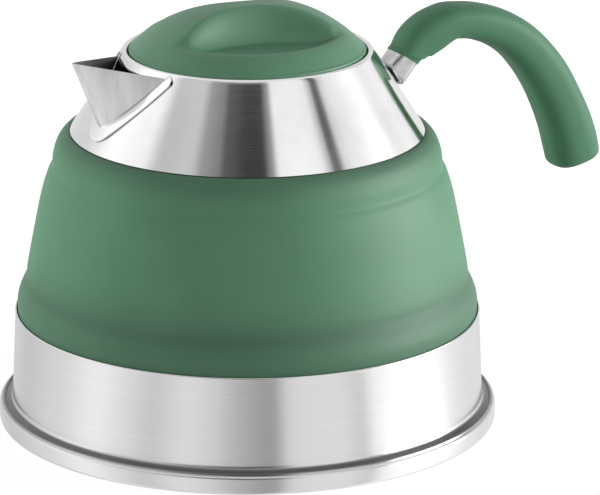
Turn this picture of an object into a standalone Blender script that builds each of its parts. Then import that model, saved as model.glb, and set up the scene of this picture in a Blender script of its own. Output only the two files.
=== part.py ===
"""Collapsible camping kettle: steel base, folding silicone wall, steel shoulder with a
folded spout, a lift-off lid with a pinch ridge, and a handle that swivels on a rivet.

Metres, +Z up. The origin is the middle of the underside. The handle points to +X and
the spout to -X. The kettle stands open, at its full height.
"""

import math

import bmesh
import bpy
import numpy as np
from mathutils import Matrix

# Clearances
FIT = 0.0003  # gap between two pieces that seat on each other
OVERRUN = 0.004  # how far a cutter runs past what it cuts

# Facets round a turned piece
RING_STEPS = 40
SMALL_STEPS = 20
ARC_POINTS = 3

# Base: one steel band, swept out at the bottom into a rolled foot
FOOT_RADIUS = 0.1025
FOOT_HEIGHT = 0.0076
FOOT_ROUND = 0.0014
FOOT_HEM_WIDTH = 0.0042
LEDGE_RISE = 0.0008
BAND_SWEEP = 0.0026
BAND_SETBACK = 0.0055
BAND_TAPER = 0.0015
BAND_HEIGHT = 0.0464
BAND_SHEET = 0.0007

# Floor of the base, with its heat spreader and the steel cover under it
PAN_SHEET = 0.0007
PAN_ROUND = 0.0009
PAN_STEP_WIDTH = 0.0030
SPREADER_SETBACK = 0.0090
SPREADER_THICKNESS = 0.0034
COVER_SHEET = 0.0005

# Silicone wall between the band and the shoulder cone
WALL_HEIGHT = 0.0754
WALL_THICKNESS = 0.0020
LOWER_TUCK = 0.0090
UPPER_TUCK = 0.0060
# Outer face, from the cone down: height as a share of WALL_HEIGHT, and radius as a
# share of the way from the cone's bottom edge out to the band's top edge.
WALL_SHAPE_SHARES = (
    (0.985, 0.100),
    (0.945, 0.215),
    (0.880, 0.298),
    (0.812, 0.312),
    (0.794, 0.340),
    (0.757, 0.415),
    (0.640, 0.522),
    (0.446, 0.651),
    (0.205, 0.785),
    (0.184, 0.790),
    (0.160, 0.825),
    (0.120, 0.900),
    (0.060, 0.958),
)

# Steel rings that hold the wall's two edges against the band and the cone
CLAMP_SHEET = 0.0008
CLAMP_SHORT = 0.0005

# Shoulder cone, with the lid's collar drawn into its top
CONE_BOTTOM_RADIUS = 0.0723
CONE_HEIGHT = 0.0337
CONE_SHEET = 0.0006
MOUTH_RADIUS = 0.0486
RIM_ROUND = 0.0014
COLLAR_DEPTH = 0.0064
COLLAR_ROUND = 0.0010
COLLAR_LEDGE_WIDTH = 0.0031

# Spout: one sheet folded to a V, with a flange welded round the pouring hole
SPOUT_SHEET = 0.0007
SPOUT_OVERHANG = 0.0074
SPOUT_TIP_RISE = 0.0037
SPOUT_FOOT_RISE = 0.0093
SPOUT_TOP_DROP = 0.0019
SPOUT_HALF_ANGLE = math.radians(23.0)
SPOUT_CREASE_SHARE = 0.15
SPOUT_END_SHARE = 0.96
SPOUT_ACROSS = 17
SPOUT_ALONG = 3
FLANGE_WIDTH = 0.0060
FLANGE_TOP_DROP = 0.0016
FLANGE_EXTRA_ANGLE = math.radians(7.0)
FLANGE_CREASE_SHARE = 0.24
HOLE_MARGIN = 0.0015
HOLE_TOP_DROP = 0.0016
HOLE_INNER_GAP = 0.0007

# Lid: moulded cover, steel inner plate, seal and the screw that joins them
LID_GAP = 0.0004
LID_RISE = 0.0190
LID_EDGE_DROP = 0.0002
LID_WALL = 0.0022
LID_DOME_POWER = 2.65
LID_TURN = math.radians(-11.0)
RIDGE_HALF_WIDTH = 0.0062
RIDGE_FLARE = 0.0100
RIDGE_FLARE_END = 0.0300
RIDGE_BANK = 0.0080
SCOOP_MARGIN = 0.0080
SCOOP_RIM_BANK = 0.0100
SCOOP_FLOOR_RISE = 0.0052
SCOOP_BLEND_SHARE = 0.3
# Rings of the cover's top: shares of the way out to the ridge's edge, then of the way
# from there to the scoop's rim, then of the way from the rim to the lid's edge.
RIDGE_RING_SHARES = (0.45, 0.8)
SCOOP_RING_SHARES = (0.0, 0.14, 0.32, 0.56, 0.82, 1.0)
LID_RIM_RING_SHARES = (0.5, 0.85)
RIDGE_RING_LIMIT_SHARE = 0.9
SEAL_THICKNESS = 0.0020
SEAL_WIDTH = 0.0031
SEAL_CHAMFER = 0.0010
PLATE_SHEET = 0.0006
PLATE_DEPTH = 0.0042
PLATE_ROUND = 0.0015
PLATE_SETBACK = 0.0004
BOSS_RADIUS = 0.0040
SCREW_RADIUS = 0.0015
SCREW_LENGTH = 0.0120
SCREW_HEAD_RADIUS = 0.0034
SCREW_HEAD_HEIGHT = 0.0016
SCREW_SEAL_THICKNESS = 0.0008

# Handle mount: a pressed bridge on the cone, with a rivet square to the cone
MOUNT_SLOPE = 0.0144
MOUNT_HEIGHT = 0.0022
MOUNT_LENGTH = 0.0100
MOUNT_HALF_WIDTH = 0.0060
MOUNT_LEG_SPREAD = 0.0010
MOUNT_FOOT = 0.0042
MOUNT_SHEET = 0.0007
WASHER_RADIUS = 0.0044
WASHER_THICKNESS = 0.0006
RIVET_RADIUS = 0.0016
RIVET_HEAD_RADIUS = 0.0031
RIVET_HEAD_HEIGHT = 0.0011
RIVET_TAIL_HEIGHT = 0.0008

# Ferrule: a steel cup that flares from the rivet into the grip
FERRULE_SHEET = 0.0007
FERRULE_HALF_LENGTH = 0.0058
FERRULE_HALF_WIDTH = 0.0056
FERRULE_MOUTH_HALF_LENGTH = 0.0054
FERRULE_MOUTH_HALF_WIDTH = 0.0074
FERRULE_OUT = 0.0143
FERRULE_UP = 0.0024
FERRULE_BEND = math.radians(37.4)
FERRULE_SEAT = 0.0030
FERRULE_BASE_ROUND = 0.0009
FERRULE_RINGS = 6
FERRULE_POINTS = 24
FERRULE_BASE_POWER = 4.5
FERRULE_MOUTH_POWER = 2.6

# Grip: moulded over the ferrule and a flat steel tang
GRIP_REACH = 0.0823
GRIP_CREST = 0.0119
GRIP_DROP = 0.0535
GRIP_HALF_THICKNESS = 0.0109
GRIP_HALF_WIDTH = 0.0110
GRIP_POWER = 2.7
GRIP_RINGS = 19
GRIP_POINTS = 20
# Centre line from the ferrule's mouth: share of GRIP_REACH along, then height as a
# share of GRIP_CREST above the mouth or GRIP_DROP below it, then the shares of the
# half thickness and half width.
GRIP_PATH_SHARES = (
    (0.000, 0.000, 0.590, 0.74),
    (0.051, 0.373, 0.734, 0.80),
    (0.125, 0.684, 0.777, 0.86),
    (0.222, 0.953, 0.691, 0.90),
    (0.300, 0.957, 0.670, 0.91),
    (0.399, 0.827, 0.702, 0.92),
    (0.520, 0.508, 0.755, 0.93),
    (0.635, 0.003, 0.798, 0.94),
    (0.734, -0.151, 0.851, 0.95),
    (0.819, -0.326, 0.899, 0.96),
    (0.887, -0.517, 0.926, 0.98),
    (0.944, -0.711, 0.968, 1.00),
    (0.979, -0.872, 1.000, 1.00),
    (1.000, -1.000, 1.000, 0.96),
)
GRIP_END_ROUND = 0.0034
GRIP_END_RINGS = 3
TANG_HALF_THICKNESS = 0.0012
TANG_START_SHARE = 0.45
TANG_LENGTH_SHARE = 0.66
TANG_RINGS = 18

# Colours as linear values, with roughness and metallic
STEEL = ((0.60, 0.60, 0.59), 0.22, 1.0)
POLISHED = ((0.70, 0.70, 0.69), 0.10, 1.0)
ALUMINIUM = ((0.55, 0.56, 0.57), 0.40, 1.0)
GREEN = ((0.105, 0.262, 0.165), 0.50, 0.0)
GREY_SILICONE = ((0.35, 0.36, 0.35), 0.60, 0.0)
BLACK = ((0.02, 0.02, 0.02), 0.50, 0.0)

# Radii and heights that several pieces share
BAND_BOTTOM_RADIUS = FOOT_RADIUS - BAND_SETBACK
BAND_TOP_RADIUS = BAND_BOTTOM_RADIUS - BAND_TAPER
SPREADER_RADIUS = BAND_BOTTOM_RADIUS - SPREADER_SETBACK
LID_RADIUS = MOUTH_RADIUS - LID_GAP
SCOOP_RADIUS = LID_RADIUS - SCOOP_MARGIN
COVER_TOP = COVER_SHEET
SPREADER_BOTTOM = COVER_TOP + FIT
SPREADER_TOP = SPREADER_BOTTOM + SPREADER_THICKNESS
FLOOR_TOP = SPREADER_TOP + FIT + PAN_SHEET
CONE_BOTTOM = BAND_HEIGHT + WALL_HEIGHT
RIM_CREST = CONE_BOTTOM + CONE_HEIGHT
RIM_CENTRE = (MOUTH_RADIUS + RIM_ROUND, RIM_CREST - RIM_ROUND)
COLLAR_LEDGE = RIM_CREST - COLLAR_DEPTH
SEAL_BOTTOM = COLLAR_LEDGE + FIT
SEAL_TOP = SEAL_BOTTOM + SEAL_THICKNESS
SEAL_OUTER = MOUTH_RADIUS - FIT
SEAL_INNER = SEAL_OUTER - SEAL_WIDTH
PLATE_FLANGE = SEAL_TOP + FIT
PLATE_BOTTOM = PLATE_FLANGE - PLATE_DEPTH
LID_SKIRT = PLATE_FLANGE + PLATE_SHEET + FIT
LID_EDGE = RIM_CREST - LID_EDGE_DROP
SPOUT_FOOT = CONE_BOTTOM + SPOUT_FOOT_RISE
SPOUT_TOP = RIM_CREST - SPOUT_TOP_DROP


def cone_tilt():
    """Angle of the cone's outward normal above level: its wall runs from its bottom
    edge and just touches the rolled rim."""
    across = RIM_CENTRE[0] - CONE_BOTTOM_RADIUS
    above = RIM_CENTRE[1] - CONE_BOTTOM
    return math.atan2(above, across) - math.acos(-RIM_ROUND / math.hypot(across, above))


TILT = cone_tilt()


def on_cone(slope, out):
    """(radius, height) of a point that far up the cone's wall and that far out of it."""
    radius = CONE_BOTTOM_RADIUS - slope * math.sin(TILT) + out * math.cos(TILT)
    height = CONE_BOTTOM + slope * math.cos(TILT) + out * math.sin(TILT)
    return radius, height


def cone_radius(height):
    return CONE_BOTTOM_RADIUS - (height - CONE_BOTTOM) * math.tan(TILT)


def band_radius(height):
    """Outer radius of the tapered band at a height above its sweep."""
    foot = FOOT_HEIGHT + LEDGE_RISE + BAND_SWEEP
    down = (BAND_HEIGHT - height) / (BAND_HEIGHT - foot)
    return BAND_TOP_RADIUS + down * (BAND_BOTTOM_RADIUS - BAND_TOP_RADIUS)


def arc(centre, radius, start, end, points=ARC_POINTS):
    """Points on an arc, with both its ends, angles in degrees."""
    turns = [math.radians(start + (end - start) * i / points) for i in range(points + 1)]
    return [(centre[0] + radius * math.cos(a), centre[1] + radius * math.sin(a)) for a in turns]


def clear_scene():
    for obj in list(bpy.data.objects):
        bpy.data.objects.remove(obj, do_unlink=True)


def new_collection(name, hidden=False):
    collection = bpy.data.collections.new(name)
    bpy.context.scene.collection.children.link(collection)
    collection.hide_render = hidden
    return collection


def new_material(name, finish):
    colour, roughness, metallic = finish
    material = bpy.data.materials.new(name)
    material.use_nodes = True
    shader = material.node_tree.nodes["Principled BSDF"]
    shader.inputs["Base Color"].default_value = (*colour, 1.0)
    shader.inputs["Roughness"].default_value = roughness
    shader.inputs["Metallic"].default_value = metallic
    material.diffuse_color = (*colour, 1.0)
    return material


def place(obj, collection, parent=None):
    collection.objects.link(obj)
    if parent is not None:
        obj.parent = parent
    return obj


def new_empty(name, location=(0, 0, 0), tilt=0.0, parent=None):
    """An empty on a joint's axis, turned about Y."""
    empty = bpy.data.objects.new(name, None)
    empty.location = location
    empty.rotation_euler = (0, tilt, 0)
    empty.empty_display_size = FOOT_HEIGHT
    return place(empty, PARTS, parent)


def mesh_object(name, points, edges, faces, finish, parent):
    mesh = bpy.data.meshes.new(name)
    mesh.from_pydata([tuple(p) for p in points], edges, faces)
    mesh.update()
    obj = bpy.data.objects.new(name, mesh)
    if finish is not None:
        mesh.materials.append(new_material(name, finish))
        mesh.shade_smooth()
        mesh.set_sharp_from_angle(angle=SMOOTH_ANGLE)
    return place(obj, PARTS if finish is not None else CUTTERS, parent)


def thicken(obj, sheet):
    """Gives an open surface its wall, on the side away from its faces' normals."""
    wall = obj.modifiers.new("Wall", "SOLIDIFY")
    wall.thickness = sheet
    wall.offset = -1
    wall.use_even_offset = True
    return obj


def turned(name, outline, finish, sheet=None, steps=RING_STEPS, parent=None):
    """A piece turned about Z from (radius, height) points that run down its outer side.
    With a sheet the outline is open and gets that wall inwards; without one it closes."""
    count = len(outline)
    points = [(radius, 0, height) for radius, height in outline]
    edges = [(i, i + 1) for i in range(count - 1)]
    on_axis = outline[0][0] == 0 and outline[-1][0] == 0
    if sheet is None and not on_axis:
        edges.append((count - 1, 0))
    obj = mesh_object(name, points, edges, [], finish, parent)
    screw = obj.modifiers.new("Turn", "SCREW")
    screw.axis = "Z"
    screw.angle = math.tau
    screw.steps = steps
    screw.render_steps = steps
    screw.use_merge_vertices = True
    screw.merge_threshold = SCREW_MERGE
    screw.use_smooth_shade = True
    if sheet is not None:
        thicken(obj, sheet)
    return obj


def lofted(name, rings, finish, sheet=None, caps=(True, True), parent=None):
    """A skin through rings of equal point counts, with flat or open ends."""
    count = len(rings[0])
    points = [point for ring in rings for point in ring]
    faces = []
    for row in range(len(rings) - 1):
        for i in range(count):
            j = (i + 1) % count
            low, high = row * count, (row + 1) * count
            faces.append((low + i, low + j, high + j, high + i))
    if caps[0]:
        faces.append(tuple(reversed(range(count))))
    if caps[1]:
        faces.append(tuple(range(len(points) - count, len(points))))
    obj = mesh_object(name, points, [], faces, finish, parent)
    if sheet is not None:
        thicken(obj, sheet)
    return obj


def cylinder(name, radius, low, high, finish=None, steps=SMALL_STEPS, parent=None):
    """An upright cylinder between two heights."""
    mesh = bpy.data.meshes.new(name)
    shape = bmesh.new()
    bmesh.ops.create_cone(
        shape,
        cap_ends=True,
        segments=steps,
        radius1=radius,
        radius2=radius,
        depth=high - low,
        matrix=Matrix.Translation((0, 0, (low + high) / 2)),
    )
    shape.to_mesh(mesh)
    shape.free()
    obj = bpy.data.objects.new(name, mesh)
    if finish is not None:
        mesh.materials.append(new_material(name, finish))
        mesh.shade_smooth()
        mesh.set_sharp_from_angle(angle=SMOOTH_ANGLE)
        return place(obj, PARTS, parent)
    return as_cutter(place(obj, CUTTERS, parent))


def as_cutter(obj):
    obj.hide_render = True
    obj.display_type = "WIRE"
    return obj


def combine(obj, tool, operation):
    boolean = obj.modifiers.new(operation.title() + " " + tool.name, "BOOLEAN")
    boolean.operation = operation
    boolean.object = tool
    boolean.solver = "EXACT"


def superellipse(half_along, half_across, power, count):
    """Points round a section between an ellipse and a rectangle."""
    turn = np.arange(count) * math.tau / count
    cosine, sine = np.cos(turn), np.sin(turn)
    along = half_along * np.sign(cosine) * np.abs(cosine) ** (2 / power)
    across = half_across * np.sign(sine) * np.abs(sine) ** (2 / power)
    return along, across


def section_ring(centre, heading, half_thickness, half_width, power, count):
    """A section of a handle piece in the XZ plane. Its thickness lies square to the
    heading and its width runs along Y."""
    along, across = superellipse(half_thickness, half_width, power, count)
    normal = (-math.sin(heading), math.cos(heading))
    return [
        (centre[0] + a * normal[0], -b, centre[1] + a * normal[1])
        for a, b in zip(along, across)
    ]


def smooth_path(rows, count):
    """Catmull-Rom curve through rows of numbers, read at equal steps of its length."""
    rows = np.array(rows, float)
    padded = np.vstack([2 * rows[0] - rows[1], rows, 2 * rows[-1] - rows[-2]])
    fine = []
    for i in range(len(rows) - 1):
        a, b, c, d = padded[i : i + 4]
        for t in np.arange(PATH_FINENESS) / PATH_FINENESS:
            fine.append(
                0.5 * (2 * b + (c - a) * t + (2 * a - 5 * b + 4 * c - d) * t**2)
                + 0.5 * (3 * b - a - 3 * c + d) * t**3
            )
    fine.append(rows[-1])
    fine = np.array(fine)
    length = np.concatenate([[0], np.cumsum(np.hypot(*np.diff(fine[:, :2], axis=0).T))])
    even = np.linspace(0, length[-1], count)
    return np.stack([np.interp(even, length, column) for column in fine.T], axis=1)


SMOOTH_ANGLE = math.radians(35)
SCREW_MERGE = 0.00005
PATH_FINENESS = 12


def build_base():
    """The band with its foot, the floor, and the heat spreader with its cover."""
    ledge = FOOT_HEIGHT + LEDGE_RISE
    sweep_centre = (BAND_BOTTOM_RADIUS + BAND_SWEEP, ledge + BAND_SWEEP)
    roll = FOOT_RADIUS - FOOT_ROUND
    band = [(BAND_TOP_RADIUS, BAND_HEIGHT)]
    band += arc(sweep_centre, BAND_SWEEP, 180, 270)
    band += arc((roll, FOOT_HEIGHT - FOOT_ROUND), FOOT_ROUND, 80, 0)
    band += arc((roll, FOOT_ROUND), FOOT_ROUND, 0, -90)
    band.append((FOOT_RADIUS - FOOT_HEM_WIDTH, 0))
    turned("base_band", band, STEEL, BAND_SHEET)

    pan_outer = FOOT_RADIUS - BAND_SHEET - FIT
    pan_rim = FOOT_HEIGHT - BAND_SHEET - FIT
    pan_step = BAND_BOTTOM_RADIUS - BAND_SHEET - FIT
    pan = [(0, FLOOR_TOP), (pan_step - PAN_STEP_WIDTH, FLOOR_TOP), (pan_step, pan_rim)]
    pan += arc((pan_outer - PAN_ROUND, pan_rim - PAN_ROUND), PAN_ROUND, 90, 0)
    pan.append((pan_outer, FOOT_ROUND))
    turned("floor_pan", pan, STEEL, PAN_SHEET)

    cylinder("heat_spreader", SPREADER_RADIUS, SPREADER_BOTTOM, SPREADER_TOP, ALUMINIUM, RING_STEPS)

    cover_round = COVER_SHEET + FIT
    cover = [(SPREADER_RADIUS + cover_round, SPREADER_TOP)]
    cover += arc((SPREADER_RADIUS, cover_round), cover_round, 0, -90)
    cover.append((0, 0))
    turned("spreader_cover", cover, STEEL, COVER_SHEET)


def wall_outline():
    """Outer face of the silicone, from its edge inside the cone to its edge inside the band."""
    depth = CONE_SHEET + FIT
    band_side = BAND_TOP_RADIUS - BAND_SHEET - FIT
    outline = [on_cone(UPPER_TUCK, -depth), on_cone(-FIT, -depth)]
    outline.append(on_cone(-2 * FIT, FIT))
    spread = BAND_TOP_RADIUS - CONE_BOTTOM_RADIUS
    for height_share, radius_share in WALL_SHAPE_SHARES:
        radius = CONE_BOTTOM_RADIUS + spread * radius_share
        outline.append((radius, BAND_HEIGHT + WALL_HEIGHT * height_share))
    outline.append((band_side, BAND_HEIGHT + FIT))
    outline.append((band_side, BAND_HEIGHT - LOWER_TUCK))
    return outline


def build_wall():
    """The folding silicone wall and the two steel rings that clamp its edges."""
    turned("silicone_wall", wall_outline(), GREEN, WALL_THICKNESS)

    outer = BAND_TOP_RADIUS - BAND_SHEET - WALL_THICKNESS - 2 * FIT
    inner = outer - CLAMP_SHEET
    flange_top = BAND_HEIGHT - LOWER_TUCK - FIT
    flange_outer = band_radius(flange_top) - BAND_SHEET - FIT
    lower = [
        (inner, BAND_HEIGHT - CLAMP_SHORT),
        (outer, BAND_HEIGHT - CLAMP_SHORT),
        (outer, flange_top),
        (flange_outer, flange_top),
        (flange_outer, flange_top - CLAMP_SHEET),
        (inner, flange_top - CLAMP_SHEET),
    ]
    turned("lower_clamp_ring", lower, STEEL)

    near = CONE_SHEET + FIT
    face = near + WALL_THICKNESS + FIT
    back = face + CLAMP_SHEET
    step = UPPER_TUCK + FIT
    upper = [
        on_cone(step + CLAMP_SHEET, -back),
        on_cone(step + CLAMP_SHEET, -near),
        on_cone(step, -near),
        on_cone(step, -face),
        on_cone(CLAMP_SHORT, -face),
        on_cone(CLAMP_SHORT, -back),
    ]
    turned("upper_clamp_ring", upper, STEEL, parent=SHOULDER)


def build_cone():
    """The shoulder cone with its rolled rim, the lid's collar and the pouring hole."""
    ledge_inner = MOUTH_RADIUS - COLLAR_LEDGE_WIDTH
    outline = [(ledge_inner, COLLAR_LEDGE)]
    outline += [(MOUTH_RADIUS - COLLAR_ROUND, COLLAR_LEDGE)]
    outline += [(MOUTH_RADIUS, COLLAR_LEDGE + COLLAR_ROUND)]
    outline += arc(RIM_CENTRE, RIM_ROUND, 180, math.degrees(TILT), ARC_POINTS + 1)
    outline += [(CONE_BOTTOM_RADIUS, CONE_BOTTOM)]
    cone = turned("shoulder_cone", outline, POLISHED, CONE_SHEET, parent=SHOULDER)

    foot = SPOUT_FOOT + HOLE_MARGIN
    top = SPOUT_TOP - HOLE_TOP_DROP
    half = cone_radius(top) * math.sin(SPOUT_HALF_ANGLE) - HOLE_MARGIN
    inner = -(MOUTH_RADIUS + CONE_SHEET + HOLE_INNER_GAP)
    outer = -(cone_radius(foot) + OVERRUN)
    wedge = [[(x, 0, foot), (x, half, top), (x, -half, top)] for x in (outer, inner)]
    hole = lofted("pouring_hole", wedge, None, parent=SHOULDER)
    combine(cone, as_cutter(hole), "DIFFERENCE")


def spout_row(foot, head, crease_share, out):
    """A V-shaped row of points on the cone, from its left head down to the foot and up
    again. A foot or head is (angle from the spout's middle, height), and the row stands
    out of the cone by the given distance."""
    side = np.linspace(-SPOUT_END_SHARE, SPOUT_END_SHARE, SPOUT_ACROSS)
    rise = rounded_vee(side, crease_share)
    height = foot[1] + (head[1] - foot[1]) * rise
    turn = head[0] * side
    radius = cone_radius(height) + out / math.cos(TILT)
    return [
        (-r * math.cos(a), -r * math.sin(a), z) for r, a, z in zip(radius, turn, height)
    ]


def rounded_vee(side, crease_share):
    """From 0 at the crease to 1 at either end, rounded at the crease."""
    low = crease_share
    return (np.hypot(side, low) - low) / (math.hypot(1, low) - low)


def build_spout():
    """The folded spout: flange on the cone, then walls that rise along the crease."""
    out = FIT + SPOUT_SHEET
    flange_foot = (0, SPOUT_FOOT - FLANGE_WIDTH * math.cos(TILT))
    flange_head = (SPOUT_HALF_ANGLE + FLANGE_EXTRA_ANGLE, SPOUT_TOP - FLANGE_TOP_DROP)
    flange = spout_row(flange_foot, flange_head, FLANGE_CREASE_SHARE, out)
    seam = spout_row((0, SPOUT_FOOT), (SPOUT_HALF_ANGLE, SPOUT_TOP), SPOUT_CREASE_SHARE, out)

    side = np.linspace(-SPOUT_END_SHARE, SPOUT_END_SHARE, SPOUT_ACROSS)
    rise = rounded_vee(side, SPOUT_CREASE_SHARE)
    tip = np.array((-CONE_BOTTOM_RADIUS - SPOUT_OVERHANG, 0, RIM_CREST + SPOUT_TIP_RISE))
    head_radius = cone_radius(SPOUT_TOP)
    across = head_radius * math.sin(SPOUT_HALF_ANGLE)
    head = np.array((-head_radius * math.cos(SPOUT_HALF_ANGLE), across, SPOUT_TOP))
    edge = tip + (head - tip) * rise[:, None]
    edge[:, 1] = -across * side
    seam = np.array(seam)
    rows = [flange, seam]
    rows += [seam + (edge - seam) * (i + 1) / SPOUT_ALONG for i in range(SPOUT_ALONG)]

    points = [tuple(point) for row in rows for point in row]
    faces = []
    for row in range(len(rows) - 1):
        for i in range(SPOUT_ACROSS - 1):
            low, high = row * SPOUT_ACROSS + i, (row + 1) * SPOUT_ACROSS + i
            faces.append((low, low + 1, high + 1, high))
    thicken(mesh_object("pour_spout", points, [], faces, POLISHED, SHOULDER), SPOUT_SHEET)


def ridge_edge(x):
    """Half width of the pinch ridge at a place along it: it flares towards both ends."""
    return RIDGE_HALF_WIDTH + RIDGE_FLARE * np.minimum(np.abs(x) / RIDGE_FLARE_END, 1) ** 2


def lid_height(x, y):
    """Height of the cover's top: a dome with a scoop pressed into it on either side of
    the pinch ridge. A scoop falls steeply from the ridge to its floor and rises gently
    from there to its round rim."""
    radius = np.hypot(x, y)
    dome = LID_EDGE + LID_RISE * (1 - (radius / LID_RADIUS) ** LID_DOME_POWER)
    near = (np.abs(y) - ridge_edge(x)) / RIDGE_BANK
    far = (SCOOP_RADIUS - radius) / SCOOP_RIM_BANK
    blend = np.maximum(SCOOP_BLEND_SHARE - np.abs(near - far), 0)
    inside = np.minimum(near, far) - blend**2 / (4 * SCOOP_BLEND_SHARE)
    depth_share = 1 - (1 - np.clip(inside, 0, 1)) ** 2
    return dome - (dome - LID_EDGE - SCOOP_FLOOR_RISE) * depth_share


def ridge_crossing(turn):
    """How far from the middle each spoke of the cover crosses the ridge's edge."""
    reach = np.linspace(0, SCOOP_RADIUS * RIDGE_RING_LIMIT_SHARE, RING_STEPS * SMALL_STEPS)
    x, y = reach[:, None] * np.cos(turn), reach[:, None] * np.sin(turn)
    on_ridge = np.abs(y) <= ridge_edge(x)
    return reach[on_ridge.cumprod(axis=0).sum(axis=0) - 1]


def build_lid():
    """Cover, inner plate, seal and screw. The lid lifts straight up out of its collar."""
    turn = np.arange(RING_STEPS) * math.tau / RING_STEPS
    edge = ridge_crossing(turn)
    rings = [edge * share for share in RIDGE_RING_SHARES]
    rings += [edge + (SCOOP_RADIUS - edge) * share for share in SCOOP_RING_SHARES]
    rings += [SCOOP_RADIUS + (LID_RADIUS - SCOOP_RADIUS) * share for share in LID_RIM_RING_SHARES]
    points = [(0, 0, float(lid_height(0, 0)))]
    for radius in rings:
        x, y = radius * np.cos(turn), radius * np.sin(turn)
        points += list(zip(x, y, lid_height(x, y)))
    for height in (LID_EDGE, LID_SKIRT):
        points += list(zip(LID_RADIUS * np.cos(turn), LID_RADIUS * np.sin(turn), [height] * RING_STEPS))
    faces = []
    for i in range(RING_STEPS):
        j = (i + 1) % RING_STEPS
        faces.append((0, 1 + i, 1 + j))
        for row in range(len(rings) + 1):
            low = 1 + row * RING_STEPS
            faces.append((low + i, low + RING_STEPS + i, low + RING_STEPS + j, low + j))
    cover = mesh_object("lid_cover", points, [], faces, GREEN, LID)
    cover.rotation_euler = (0, 0, LID_TURN)
    thicken(cover, LID_WALL)
    boss_foot = PLATE_BOTTOM + PLATE_SHEET + FIT
    boss_top = LID_EDGE + LID_RISE - LID_WALL / 2
    combine(cover, cylinder("lid_boss", BOSS_RADIUS, boss_foot, boss_top, parent=LID), "UNION")
    bore_top = PLATE_BOTTOM + SCREW_LENGTH + FIT
    bore_radius = SCREW_RADIUS + FIT
    bore = cylinder("screw_bore", bore_radius, boss_foot - OVERRUN, bore_top, parent=LID)
    combine(cover, bore, "DIFFERENCE")

    seal = [
        (SEAL_INNER, SEAL_TOP),
        (SEAL_OUTER, SEAL_TOP),
        (SEAL_OUTER, SEAL_BOTTOM + SEAL_CHAMFER),
        (SEAL_OUTER - SEAL_CHAMFER, SEAL_BOTTOM),
        (SEAL_INNER, SEAL_BOTTOM),
    ]
    turned("lid_seal", seal, GREY_SILICONE, parent=LID)

    wall = SEAL_INNER - FIT
    plate = [(LID_RADIUS - PLATE_SETBACK, PLATE_FLANGE), (wall, PLATE_FLANGE)]
    plate += arc((wall - PLATE_ROUND, PLATE_BOTTOM + PLATE_ROUND), PLATE_ROUND, 0, -90)
    plate.append((0, PLATE_BOTTOM))
    inner_plate = turned("lid_inner_plate", plate, STEEL, PLATE_SHEET, parent=LID)
    clearance = cylinder("plate_bore", bore_radius, PLATE_BOTTOM - OVERRUN, boss_foot, parent=LID)
    combine(inner_plate, clearance, "DIFFERENCE")

    ring_top = PLATE_BOTTOM - FIT
    ring = [
        (bore_radius, ring_top),
        (SCREW_HEAD_RADIUS, ring_top),
        (SCREW_HEAD_RADIUS, ring_top - SCREW_SEAL_THICKNESS),
        (bore_radius, ring_top - SCREW_SEAL_THICKNESS),
    ]
    turned("screw_seal", ring, GREY_SILICONE, steps=SMALL_STEPS, parent=LID)

    head_top = ring_top - SCREW_SEAL_THICKNESS - FIT
    screw = [
        (0, PLATE_BOTTOM + SCREW_LENGTH),
        (SCREW_RADIUS, PLATE_BOTTOM + SCREW_LENGTH),
        (SCREW_RADIUS, head_top),
        (SCREW_HEAD_RADIUS, head_top),
        (SCREW_HEAD_RADIUS, head_top - SCREW_HEAD_HEIGHT / 2),
        (SCREW_HEAD_RADIUS / 2, head_top - SCREW_HEAD_HEIGHT),
        (0, head_top - SCREW_HEAD_HEIGHT),
    ]
    turned("lid_screw", screw, STEEL, steps=SMALL_STEPS, parent=LID)


def cone_drop(across):
    """How far the cone's face falls away, that far to one side of the rivet."""
    bend = on_cone(MOUNT_SLOPE, 0)[0] / math.cos(TILT)
    return bend - math.sqrt(bend**2 - across**2)


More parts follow.
